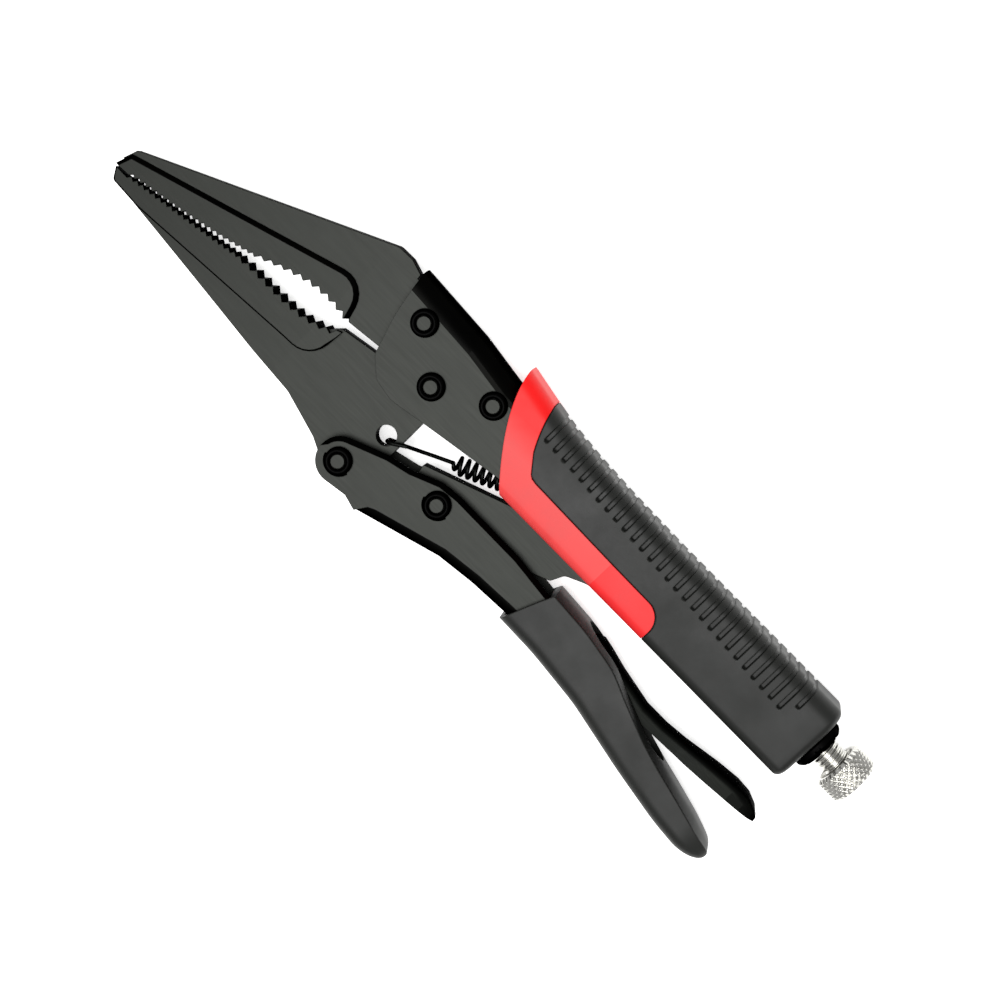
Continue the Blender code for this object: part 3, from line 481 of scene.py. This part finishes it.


# %% [markdown]
# ## Pressed and forged steel pieces
#
# The jaws, the two channels, the toggle link and the release lever already have their true
# shape in the imported model. A real pressing has no knife edges, though: tumbling rounds them
# So each one is copied, its loose triangles are merged
# into clean faces, and a small bevel is put on every sharp edge. The flat sides of each piece
# keep the grey steel. The bends, the walls and the rounded edges get a second, near-black
# material: painted shade, for the light that falls away as these faces turn from the soft box.


# %% Steel pieces with eased edges
# For each: which side's walls (1 spine, -1 lever), lowest height, furthest X, width of the chamfer
CHAMFERS = {
    "fixed_jaw": (1, 2.45, -24.5, 0.95),
    "movable_jaw": (-1, 2.45, -24.0, 0.4),
    "lever_channel": (1, 6.0, 60.0, 1.1),
}


def chamfer(bm, side, level, rear, width):
    """Cuts a slope where a face of the piece meets its walls on one side of the tool."""
    chosen = []
    for edge in bm.edges:
        lid, wall = sorted(edge.link_faces, key=lambda face: -abs(face.normal.z))
        middle = to_local(sum((v.co for v in edge.verts), Vector()) / 2)
        upright = abs(lid.normal.z) > 0.98 and abs(wall.normal.z) < 0.2
        if upright and side * wall.normal.y > 0.1 and abs(middle[2]) > level and middle[0] < rear:
            chosen.append(edge)
    bmesh.ops.bevel(bm, geom=chosen, offset=width * MM, offset_type="OFFSET", segments=1,
                    profile=0.5, affect="EDGES")
    return len(chosen)


PLANE_COSINE = 0.995


def paint_shade_on_tilted_faces(mesh):
    """Shades the flat faces as planes and gives the bends and walls the second material: near-black
    painted shade on most pieces.
    """
    normals = np.array([polygon.normal for polygon in mesh.polygons])
    plane = np.abs(normals[:, 2]) > PLANE_COSINE
    mesh.polygons.foreach_set("material_index", (~plane).astype(np.int32))
    mesh.polygons.foreach_set("use_smooth", ~plane)
    print(mesh.name, int(plane.sum()), "ground faces")


def eased(node, body, material, walls, slot, width, crease=32.0):
    """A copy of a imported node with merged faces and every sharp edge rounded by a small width."""
    mesh = frame["nodes"][node].data.copy()
    bm = bmesh.new()
    bm.from_mesh(mesh)
    bmesh.ops.remove_doubles(bm, verts=bm.verts[:], dist=2e-6)
    bmesh.ops.dissolve_limit(bm, angle_limit=math.radians(0.25), verts=bm.verts[:], edges=bm.edges[:])
    if node in CHAMFERS:
        print(node, "chamfered edges", chamfer(bm, *CHAMFERS[node]))
    bm.to_mesh(mesh)
    bm.free()
    shape = bpy.data.objects.new(node + "_eased", mesh)
    bpy.context.scene.collection.objects.link(shape)
    bevel = shape.modifiers.new("eased edges", "BEVEL")
    bevel.width = width * MM
    bevel.segments = 2
    bevel.limit_method = "ANGLE"
    bevel.angle_limit = math.radians(crease)
    bevel.harden_normals = True
    # The bevel's rounded faces take the second material, the near-black painted shade.
    bevel.material = 1
    present(shape, body, [material, walls], [node], crease)
    paint_shade_on_tilted_faces(shape.data)
    return shape


EASED = {
    "handle_channel": ("fixed_handle", STEEL, PAINTED_SHADE_STEEL, "black_oxide_steel", 0.35),
    "fixed_jaw": ("fixed_handle", STEEL, PAINTED_SHADE_STEEL, "black_oxide_steel", 0.15),
    "movable_jaw": ("movable_jaw_body", STEEL, PAINTED_SHADE_STEEL, "black_oxide_steel", 0.15),
    "lever_channel": ("lever", STEEL, PAINTED_SHADE_STEEL, "black_oxide_steel", 0.25),
    "toggle_link": ("link", STEEL, PAINTED_SHADE_STEEL, "black_oxide_steel", 0.3),
    "release_lever": ("release", DARK_STEEL, DARK_STEEL, "dark_steel", 0.2),
}
for node, settings in EASED.items():
    eased(node, *settings)

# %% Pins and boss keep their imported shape
PLAIN = {"spring_anchor_pin": BLACK_STEEL_AND_RIM_SHADE, "release_pivot_pin": BLACK_STEEL_AND_RIM_SHADE, "screw_boss": BRIGHT}
for node, material in PLAIN.items():
    frame["nodes"][node].data.materials.clear()
    frame["nodes"][node].data.materials.append(material)

# %% [markdown]
# ## Rivets
#
# Each pivot is a semi-tubular rivet: its end was rolled outwards by a press tool, which
# leaves a rounded ring with a flat, ground middle. A turned profile gives both. The ring's
# profile is half an ellipse, radius 2.6 + 0.9 cos t and height 1.9 sin t over its seat.


# %% Rivets
RIVET_SIDES = 64
RIVET_SHANK_R = 2.6
RING_MIDDLE_R = 2.6
RING_HALF_WIDTH = 0.9
RING_HEIGHT = 1.9
FLAT_R = 1.65
FLAT_RECESS = 0.35
RIM_STEP = 0.1
RIM_FOOT_R = 3.3


def rivet(node, body):
    low, high = node_box(node)
    centre = (low + high) / 2
    top = high[2] - centre[2]
    seat = top - RING_HEIGHT
    swing = np.radians(np.linspace(0, 150, 13))
    crown = np.stack([seat + RING_HEIGHT * np.sin(swing),
                      RING_MIDDLE_R + RING_HALF_WIDTH * np.cos(swing)], axis=1)
    flat = np.array([[top - FLAT_RECESS - RIM_STEP, RING_MIDDLE_R - RING_HALF_WIDTH],
                     [top - FLAT_RECESS, FLAT_R]])
    shank = [[0.0, RIVET_SHANK_R], [seat - RIM_STEP, RIVET_SHANK_R], [seat - RIM_STEP, RIM_FOOT_R]]
    half = np.concatenate([shank, crown, flat])
    mirrored = half[::-1] * np.array([-1, 1])
    profile = np.concatenate([mirrored, half[1:]])
    points, faces = tube(turned(profile, RIVET_SIDES, (centre[0], centre[1], 0), "Z"))
    shape = solid(node + "_rolled", points, faces)
    shape = present(shape, body, [BLACK_STEEL_AND_RIM_SHADE, STEEL], [node], 50.0)
    # The rolled ring keeps the near-black material as painted shade, for its faces turning from the light;
    # the flat middle takes the grey steel.
    reach = np.array([(face.center - Vector(((centre * MM) + origin).tolist())).xy.length
                      for face in shape.data.polygons])
    shape.data.polygons.foreach_set("material_index", (reach < FLAT_R * MM).astype(np.int32))
    return shape


for node in ("fixed_jaw_rivet_front", "fixed_jaw_rivet_rear", "jaw_pivot_rivet"):
    rivet(node, "fixed_handle")
for node in ("jaw_lever_rivet", "link_rivet"):
    rivet(node, "lever")

# %% [markdown]
# ## Screw, knob and collar
#
# The adjusting screw is a turned rod with a 1.25 mm thread. A thread is the surface whose
# radius depends on one number only, x divided by the pitch minus the turn, so one formula
# over a grid draws it all. The knob's knurl is the same idea twice: two crossed families of
# grooves, and the metal that is left stands up as little pyramids.


# %% Threaded screw
THREAD_PITCH = 1.25
THREAD_DEPTH = 0.5
POINT_SHARE = 0.72


def wave(value):
    """A triangle wave between 0 and 1 with period 1."""
    return 1 - np.abs(2 * (value - np.floor(value)) - 1)


screw_low, screw_high = node_box("adjusting_screw")
rod_r = (screw_high[1] - screw_low[1]) / 2
screw_y = (screw_high[1] + screw_low[1]) / 2
stations = np.linspace(screw_low[0] + 0.5, screw_high[0], 300)
swing = np.arange(48) * 2 * math.pi / 48
x, turn_angle = np.meshgrid(stations, swing, indexing="ij")
groove = wave(x / THREAD_PITCH - turn_angle / (2 * math.pi))
radius = rod_r - THREAD_DEPTH * np.clip(1.4 * groove - 0.2, 0, 1)
radius *= np.clip(POINT_SHARE + (x - screw_low[0]) * (1 - POINT_SHARE), 0, 1)
rings = np.stack([x, screw_y + radius * np.cos(turn_angle), radius * np.sin(turn_angle)], axis=-1)
screw = solid("adjusting_screw_threaded", *tube(rings))
present(screw, "screw", [BRIGHT], ["adjusting_screw"], 60.0)

# %% Knurled knob
KNURL_COUNT = 24
KNURL_DEPTH = 0.5
KNOB_CHAMFER = 0.8
KNURL_STEPS = KNURL_COUNT * 12
BORE_R = 3.9

knob_low, knob_high = node_box("adjusting_knob")
knob_r = (knob_high[1] - knob_low[1]) / 2
knob_start, knob_end = knob_low[0], knob_high[0]
cup_end, cup_mouth = knob_end - 1.4, knob_start + 2.2
cup = [(cup_end, 0.01), (cup_end, BORE_R), (cup_mouth, BORE_R), (cup_mouth, 4.5)]
cup += [(knob_start + 0.2, 5.0), (knob_start, 5.2), (knob_start, knob_r - KNOB_CHAMFER)]
side = np.linspace(knob_start + KNOB_CHAMFER, knob_end - KNOB_CHAMFER, 60)
dimple = knob_end - 0.15
face = [(knob_end, knob_r - KNOB_CHAMFER), (knob_end, 1.2), (dimple, 0.9), (dimple, 0.01)]
profile = np.array(cup + [(x, knob_r) for x in side] + face)
rings = turned(profile, KNURL_STEPS, (0, screw_y, 0))
angle = np.arange(KNURL_STEPS) / KNURL_STEPS
u = KNURL_COUNT * angle[None, :]
v = (side[:, None] - knob_start) * KNURL_COUNT / (2 * math.pi * knob_r)
groove = np.maximum(wave(u + v), wave(u - v)) ** 2
share = 1 - KNURL_DEPTH * groove / knob_r
rows = slice(len(cup), len(cup) + len(side))
axis_line = np.array([0, screw_y, 0])
spokes = rings[rows] - axis_line
spokes[..., 1:] *= share[..., None]
rings[rows] = spokes + axis_line
knob = solid("adjusting_knob_knurled", *tube(rings))
present(knob, "knob", [BRIGHT], ["adjusting_knob"], 25.0)

# %% Notched collar
NOTCHES = 6
NOTCH_DEPTH = 0.9
NOTCH_SHARE = 0.11
COLLAR_STEPS = 144
SPIGOT_R = 5.4
FLANGE_LENGTH = 2.7
collar_low, collar_high = node_box("end_collar")
collar_r = (collar_high[1] - collar_low[1]) / 2
flange_x = collar_high[0] - FLANGE_LENGTH
profile = [(collar_low[0], BORE_R), (collar_low[0], SPIGOT_R)]
profile += [(flange_x, SPIGOT_R), (flange_x, collar_r - 0.3)]
profile += [(flange_x + 0.3, collar_r), (flange_x + 1.0, collar_r), (flange_x + 1.1, collar_r)]
profile += [(flange_x + 1.5, collar_r), (flange_x + 2.1, collar_r - 0.4)]
profile += [(flange_x + 2.5, collar_r - 0.8), (collar_high[0], collar_r - 1.1), (collar_high[0], BORE_R)]
rings = turned(profile, COLLAR_STEPS, (0, screw_y, 0))
angle = np.arange(COLLAR_STEPS) / COLLAR_STEPS
notch = NOTCH_DEPTH * (np.abs((angle * NOTCHES) % 1 - 0.5) < NOTCH_SHARE)
notched = slice(6, 11)
rings[notched] -= axis_line
scale = 1 - notch[None, :] / np.array([p[1] for p in profile[notched]])[:, None]
rings[notched, :, 1:] *= scale[..., None]
rings[notched] += axis_line
collar = solid("end_collar_notched", *ring_tube(rings))
present(collar, "fixed_handle", [BLACK_STEEL_AND_RIM_SHADE], ["end_collar"], 30.0)

# %% [markdown]
# ## Grip
#
# The grip is moulded over the steel channel, in black with a red band let into its front
# and underside. Its section is a box with rounded corners; along its back run ribs, which
# are really what is left between 29 rounded slots. The slots are a displacement: every point
# of the grid is pushed inwards by a depth that depends only on how far it is, in the side
# view, from the nearest slot's centre line. The band's tail, from x = 60 mm back, is coloured
# a deeper red and has a finish of its own.


# %% Grip surface
grip_low, grip_high = node_box("handle_grip")
GRIP_HALF = grip_high[2]
GRIP_UNDER = grip_low[1]
GRIP_END = grip_high[0]
CROWN = np.array([(13.0, 19.9), (23.0, 18.0), (31.0, 16.7), (40.0, 15.9), (52.0, 15.4),
                  (70.0, 15.1), (GRIP_END, 15.3)])
CROWN_R = 4.5
UNDER_R = 2.4
END_R = 2.0
SLOTS = 29
SLOT_PITCH = 3.07
SLOT_FIRST = 28.2
SLOT_HALF = 0.66
SLOT_WALL = 0.2
SLOT_DEPTH = 1.0
CROWN_SHARE = 0.45
FLANK_BULGE = 0.55
CHANNEL_BEND_R = 5.4
ROOM = 0.3
BAND_ROOM = 0.25
SLOT_LOW_FRONT = 10.6
SLOT_LOW_REAR = 5.4
SLOT_LAST_LOW = 8.8


def box_ring(low, high, half, low_r, high_r, steps):
    """Rounded boxes as rings of (y, z) and their outward normals, (rings, points, 2) each.

    low, high, half and the two corner radii are one value per ring. Each ring walks from the
    underside round by +Z, over the top and down by -Z; steps cuts its three straight runs.
    """
    rings = len(low)
    low_r, high_r = np.broadcast_to(low_r, rings), np.broadcast_to(high_r, rings)
    corners = [(-1, 1, low_r, 270), (1, 1, high_r, 0), (1, -1, high_r, 90), (-1, -1, low_r, 180)]
    quarter = np.radians(np.linspace(0, 90, 9))
    middle, reach = (low + high) / 2, (high - low) / 2
    parts, normals = [], []
    for k, (up, out, radius, start) in enumerate(corners):
        swing = np.radians(start) + quarter
        ny, nz = np.sin(swing), np.cos(swing)
        y = (middle + up * (reach - radius))[:, None] + radius[:, None] * ny[None]
        z = (out * (half - radius))[:, None] + radius[:, None] * nz[None]
        bend = np.stack([y, z], axis=-1)
        if k > 0:
            share = np.linspace(0, 1, steps[k - 1] + 1)[None, 1:-1, None]
            run = parts[-1][:, -1:] * (1 - share) + bend[:, :1] * share
            parts.append(run)
            normals.append(np.broadcast_to([ny[0], nz[0]], run.shape))
        parts.append(bend)
        normals.append(np.broadcast_to(np.stack([ny, nz], axis=-1), bend.shape))
    return np.concatenate(parts, axis=1), np.concatenate(normals, axis=1)


def slot_depth(x, y):
    """How deep the grip's slots are at (x, y): full depth on a centre line, none past its rim."""
    number = np.clip(np.round((x - SLOT_FIRST) / SLOT_PITCH), 0, SLOTS - 1)
    centre = SLOT_FIRST + number * SLOT_PITCH
    end = SLOT_LOW_FRONT + (SLOT_LOW_REAR - SLOT_LOW_FRONT) * number / (SLOTS - 1)
    end = np.where(number == SLOTS - 1, SLOT_LAST_LOW, end) + SLOT_HALF
    away = np.hypot(x - centre, np.minimum(y - end, 0.0))
    return SLOT_DEPTH * np.clip((SLOT_HALF - away) / SLOT_WALL, 0, 1)


def grip_skin(ribbed):
    """The whole outer grip from in front of the band to the end, with or without its slots."""
    offsets = np.array([-1.2, -0.8, -0.66, -0.46, 0.0, 0.46, 0.66, 0.8, 1.2])
    lines = (SLOT_FIRST + np.arange(SLOTS)[:, None] * SLOT_PITCH + offsets[None]).ravel()
    ahead = np.linspace(CROWN[0, 0], SLOT_FIRST - 1.5, 10)
    behind = np.linspace(lines[-1] + 1, GRIP_END - END_R, 5)
    stations = np.sort(np.concatenate([ahead, behind, lines if ribbed else lines[::4]]))
    bend = np.radians(np.linspace(0, 90, 9)[1:])
    inset = np.concatenate([np.zeros(len(stations)), END_R * (1 - np.cos(bend))])
    stations = np.concatenate([stations, GRIP_END - END_R + END_R * np.sin(bend)])
    crown = np.interp(stations, CROWN[:, 0], CROWN[:, 1])
    low, high = GRIP_UNDER + inset, crown - inset
    steps = (60, 10, 60) if ribbed else (12, 6, 12)
    ring, normal = box_ring(low, high, GRIP_HALF - inset, UNDER_R, CROWN_R, steps)
    x = np.repeat(stations[:, None], ring.shape[1], axis=1)
    over = np.clip(normal[..., :1], 0, 1)
    height = (ring[..., :1] - low[:, None, None]) / (high - low)[:, None, None]
    ring = ring - normal * FLANK_BULGE * np.abs(normal[..., 1:]) * (1.6 * height - 1) ** 2
    if ribbed:
        depth = slot_depth(x, ring[..., 0])[..., None] * (1 - (1 - CROWN_SHARE) * over)
        ring = ring - normal * depth
    return tube(np.concatenate([x[..., None], ring], axis=-1))


def curve(p0, p1, p2, p3, steps):
    """Points on a cubic curve with four control points."""
    t = np.linspace(0, 1, steps + 1)[:, None]
    points = [np.array(p)[None] for p in (p0, p1, p2, p3)]
    weights = ((1 - t) ** 3, 3 * t * (1 - t) ** 2, 3 * t * t * (1 - t), t ** 3)
    return sum(weight * point for weight, point in zip(weights, points))


def band_outline(front, room):
    """The band's side view: a front edge, then the tail's round end and the rear edges."""
    tail = [(30.8, -12.0), (77.2 + room, -12.0), (77.2 + room, -3.7 + room)]
    end = outline_arc((72.2 + room, -3.7 + room), 5.0, 0, 90, 10)
    corner = [(60.0, 1.4 + room), (33.6 + room, 1.87 + room)]
    corner += [(32.2 + room, 2.1 + room), (31.3 + room, 2.7)]
    rear = curve((28.0, 6.8), (25.4, 11.5), (24.0, 15.5), (22.0, 25.0), 16) + [room, 0.0]
    return np.concatenate([front, tail, end, corner, rear])


def hollow(shape):
    """Takes the channel's room, the slot under it and the screw's bore out of the grip."""
    channel_high = node_box("handle_channel")[1]
    spine = np.array([(-8.0, 17.6), (0.8, 17.1), (13.7, 15.3), (channel_high[0] + ROOM, 11.6)])
    low = np.full(len(spine), -4.5)
    half = np.full(len(spine), channel_high[2] + ROOM)
    ring, _ = box_ring(low, spine[:, 1] + ROOM, half, ROOM, CHANNEL_BEND_R, (4, 4, 4))
    x = np.repeat(spine[:, :1], ring.shape[1], axis=1)
    combine(shape, solid("room", *tube(np.concatenate([x[..., None], ring], axis=-1))), "DIFFERENCE")
    end = channel_high[0]
    slot = prism([(5, -10), (end, -10), (end, -3), (5, -3)], -4.2, 4.2)
    combine(shape, solid("slot", *slot), "DIFFERENCE")
    bore = turned([(end - 2, 5.7), (GRIP_END + 2, 5.7)], 64, (0, screw_y, 0))
    return combine(shape, solid("bore", *tube(bore)), "DIFFERENCE")


grip = solid("handle_grip_ribbed", *grip_skin(True))
ahead = np.array([(5.0, 25.0), (5.0, -12.0)])
combine(grip, solid("band room", *prism(band_outline(ahead, BAND_ROOM), -12, 12)), "DIFFERENCE")
hollow(grip)
present(grip, "fixed_handle", [BLACK_RUBBER], ["handle_grip"], 40.0)

band = solid("handle_grip_band_moulded", *grip_skin(False))
bowed = curve((13.2, 25.0), (13.6, 14.0), (19.0, 5.0), (30.6, -7.6), 24)
combine(band, solid("band limit", *prism(band_outline(bowed, 0.0), -12, 12)), "INTERSECT")
hollow(band)
present(band, "fixed_handle", [RED_RUBBER, RED_TAIL], ["handle_grip_band"], 40.0)
reach = np.array([to_local(polygon.center)[0] for polygon in band.data.polygons])
band.data.polygons.foreach_set("material_index", (reach > TAIL_START).astype(np.int32))

# %% [markdown]
# ## Sleeve on the lever
#
# The sleeve is dipped and slid over the lever's channel: a rounded box again, whose low and
# high edges are smooth curves along the tool and whose front is cut on a slant. A slot along
# its inner face lets the release lever out. The slot's ends are round, stretched along the
# tool by a third, and the top falls away a little towards both sides like a low roof.


# %% Sleeve
def smooth_line(stations, points, reach=5.0):
    """Heights read off a few points by straight lines, then averaged over a short reach."""
    points = np.array(points)
    window = np.linspace(-reach / 2, reach / 2, 11)
    return np.mean([np.interp(stations + w, points[:, 0], points[:, 1]) for w in window], axis=0)


SLEEVE_LOW = [(40.0, -27.7), (50.0, -27.7), (62.0, -28.0), (77.3, -29.5), (96.0, -33.3)]
SLEEVE_LOW += [(110.9, -35.8), (120.5, -36.6)]
SLEEVE_TOP = [(40.0, -12.6), (50.0, -12.6), (56.0, -12.8), (67.3, -13.5), (78.4, -15.4)]
SLEEVE_TOP += [(85.0, -18.3), (96.0, -22.6), (103.0, -24.6), (110.0, -26.3), (121.5, -29.3)]
LEVER_LOW = [(40.0, -26.8), (51.0, -26.2), (62.0, -26.3), (77.0, -27.5), (96.0, -31.2)]
LEVER_LOW += [(108.0, -33.1), (117.8, -34.2)]
LEVER_TOP = [(40.0, -14.1), (43.5, -14.1), (56.0, -15.4), (70.0, -17.8), (78.0, -19.2)]
LEVER_TOP += [(84.5, -21.9), (95.5, -25.6), (107.0, -28.3), (117.8, -30.8)]
SLEEVE_FRONT = 50.4
SLEEVE_LEAN = 5.6
LEAN_END = 70.0
ROUND_START = 117.0
LOW_CORNER_R = 3.2
TOP_CORNER_R = 0.4
ROOF_FALL = 1.1
ROOF_FLAT = 3.0
SLOT_START = 66.5
SLOT_STOP = 103.0
SLOT_R = 4.4
SLOT_NOSE = 1.3

sleeve_high = node_box("lever_sleeve")[1]
end = sleeve_high[0]
swing = np.radians(np.linspace(5, 84, 16))
rounded = ROUND_START + (end - ROUND_START) * np.sin(swing)
stations = np.concatenate([np.linspace(SLEEVE_FRONT, ROUND_START, 90), rounded])
past = np.clip((stations - ROUND_START) / (end - ROUND_START), 0, 1)
round_off = np.sqrt(1 - past ** 2)
lean = SLEEVE_LEAN * np.clip((LEAN_END - stations) / (LEAN_END - SLEEVE_FRONT), 0, 1)
low = smooth_line(stations, SLEEVE_LOW)
high = smooth_line(stations + lean, SLEEVE_TOP)
middle, reach = (low + high) / 2, (high - low) / 2 * round_off
half = sleeve_high[2] * (0.45 + 0.55 * round_off)
corners = (LOW_CORNER_R * round_off, TOP_CORNER_R * round_off)
ring, _ = box_ring(middle - reach, middle + reach, half, *corners, (14, 8, 14))
slant = (ring[..., 0] - (middle - reach)[:, None]) / (2 * reach)[:, None]
eaves = np.clip((np.abs(ring[..., 1]) - ROOF_FLAT) / (sleeve_high[2] - ROOF_FLAT), 0, 1)
ring[..., 0] -= ROOF_FALL * round_off[:, None] * np.clip(slant, 0, 1) ** 4 * eaves
x = stations[:, None] + lean[:, None] * slant
sleeve = solid("lever_sleeve_moulded", *tube(np.concatenate([x[..., None], ring], axis=-1)))
stations = np.linspace(40.0, 118.0, 60)
low, high = smooth_line(stations, LEVER_LOW), smooth_line(stations, LEVER_TOP)
ring, _ = box_ring(low - 0.3, high + 0.3, np.full(len(low), 6.5), 3.0, 0.3, (4, 4, 4))
x = np.repeat(stations[:, None], ring.shape[1], axis=1)
combine(sleeve, solid("room", *tube(np.concatenate([x[..., None], ring], axis=-1))), "DIFFERENCE")
stretch = np.array([SLOT_NOSE, 1.0])
rear_end = outline_arc((0.0, 0.0), SLOT_R, -90, 90, 16) * stretch + [SLOT_STOP - SLOT_NOSE * SLOT_R, 0.0]
front_end = outline_arc((0.0, 0.0), SLOT_R, 90, 270, 16) * stretch + [SLOT_START + SLOT_NOSE * SLOT_R, 0.0]
points, faces = prism(np.concatenate([rear_end, front_end]), -1.0, 1.0)
floor_y = -21.0 - 0.25 * (points[:, 0] - SLOT_START)
points = np.column_stack([points[:, 0], np.where(points[:, 2] < 0, floor_y, -8.0), points[:, 1]])
combine(sleeve, solid("slot", points, faces), "DIFFERENCE")
present(sleeve, "lever", [BLACK_RUBBER], ["lever_sleeve"], 40.0)

# %% [markdown]
# ## Tension spring
#
# One length of hard-drawn wire: a hook through the jaw's hole, a straight leg, a close coil,
# and a hook over a pin inside the handle. The coil is a circle carried along its axis, so its
# points are the axis plus cosine and sine of the turn. The wire's skin is a small circle
# carried along that path, each ring square to it.


# %% Spring
WIRE_R = 0.5
COIL_R = 2.05
COIL_PITCH = 1.85
HOOK_HOLE = np.array([0.4, -16.8, 0.0])
LEG_SIDE = 3.4
POINTS_PER_TURN = 20


def swept(path, radius, sides):
    """Rings of a circle carried along a path.

    Each ring's frame is the last one's, turned as little as the path's direction asks.
    """
    along = np.gradient(path, axis=0)
    along /= np.linalg.norm(along, axis=1)[:, None]
    side = np.cross(along[0], [0.3, 0.5, 0.8])
    sides_of_path = []
    for direction in along:
        side = side - direction * side.dot(direction)
        side /= np.linalg.norm(side)
        sides_of_path.append(side)
    first = np.array(sides_of_path)
    second = np.cross(along, first)
    angle = np.arange(sides) * 2 * math.pi / sides
    cosine, sine = np.cos(angle)[None, :, None], np.sin(angle)[None, :, None]
    return path[:, None] + radius * (first[:, None] * cosine + second[:, None] * sine)


def rounded_path(points, radius_points=4):
    """A path through a few points, its corners rounded by averaging neighbours."""
    points = np.array(points, dtype=float)
    reach = np.concatenate([[0], np.cumsum(np.linalg.norm(np.diff(points, axis=0), axis=1))])
    fine = np.arange(0, reach[-1], 0.2)
    path = np.stack([np.interp(fine, reach, points[:, k]) for k in range(3)], axis=1)
    kernel = np.ones(2 * radius_points + 1) / (2 * radius_points + 1)
    padded = np.pad(path, ((radius_points, radius_points), (0, 0)), mode="edge")
    return np.stack([np.convolve(padded[:, k], kernel, mode="valid") for k in range(3)], axis=1)


pin_low, pin_high = node_box("spring_anchor_pin")
anchor = np.array([(pin_low[0] + pin_high[0]) / 2, (pin_low[1] + pin_high[1]) / 2, 0.0])
pin_r = (pin_high[0] - pin_low[0]) / 2
over_pin = pin_r + WIRE_R + 0.3
coil_start = np.array([16.1, -10.5, 0.0])
to_anchor = anchor + [0, over_pin, 0] - coil_start
coil_length = np.linalg.norm(to_anchor) - 7.0
coil_way = to_anchor / np.linalg.norm(to_anchor)
coil_side = np.array([-coil_way[1], coil_way[0], 0.0])
bends = [(5.6, 2.0, LEG_SIDE), (1.9, -0.5, LEG_SIDE)]
bends += [(1.0, -0.9, LEG_SIDE - 1), (1.0, -1.0, 1 - LEG_SIDE)]
bends += [(1.8, -0.8, -LEG_SIDE), (4.2, 0.1, -LEG_SIDE), (8.6, 2.6, -1.7), (12.0, 4.5, -0.7)]
leg = rounded_path(HOOK_HOLE + np.array(bends))
turns = round(coil_length / COIL_PITCH)
count = turns * POINTS_PER_TURN
number = np.arange(count + 1)
swell = np.minimum(1, np.minimum(number, count - number) / 16)[:, None]
swing = 2 * math.pi * number[:, None] / POINTS_PER_TURN
circle = coil_side * np.cos(swing) + np.array([0, 0, 1.0]) * np.sin(swing)
coil = coil_start + coil_way * coil_length * number[:, None] / count + COIL_R * swell * circle
lean = math.degrees(math.atan2(coil_way[1], coil_way[0]))
hook = outline_arc(anchor[:2], over_pin, 90 + lean, -120, 24)
hook = np.column_stack([hook, np.zeros(len(hook))])
path = np.concatenate([leg, coil[1:], hook])
spring = solid("tension_spring_wire", *tube(swept(path, WIRE_R, 10)))
coil_end = coil_start + coil_way * coil_length
ends = ("fixed_handle", "movable_jaw_body")
present(spring, ends, [SPRING_STEEL], ["tension_spring"], 60.0, bend=(coil_end, coil_start))
print("spring:", turns, "turns")
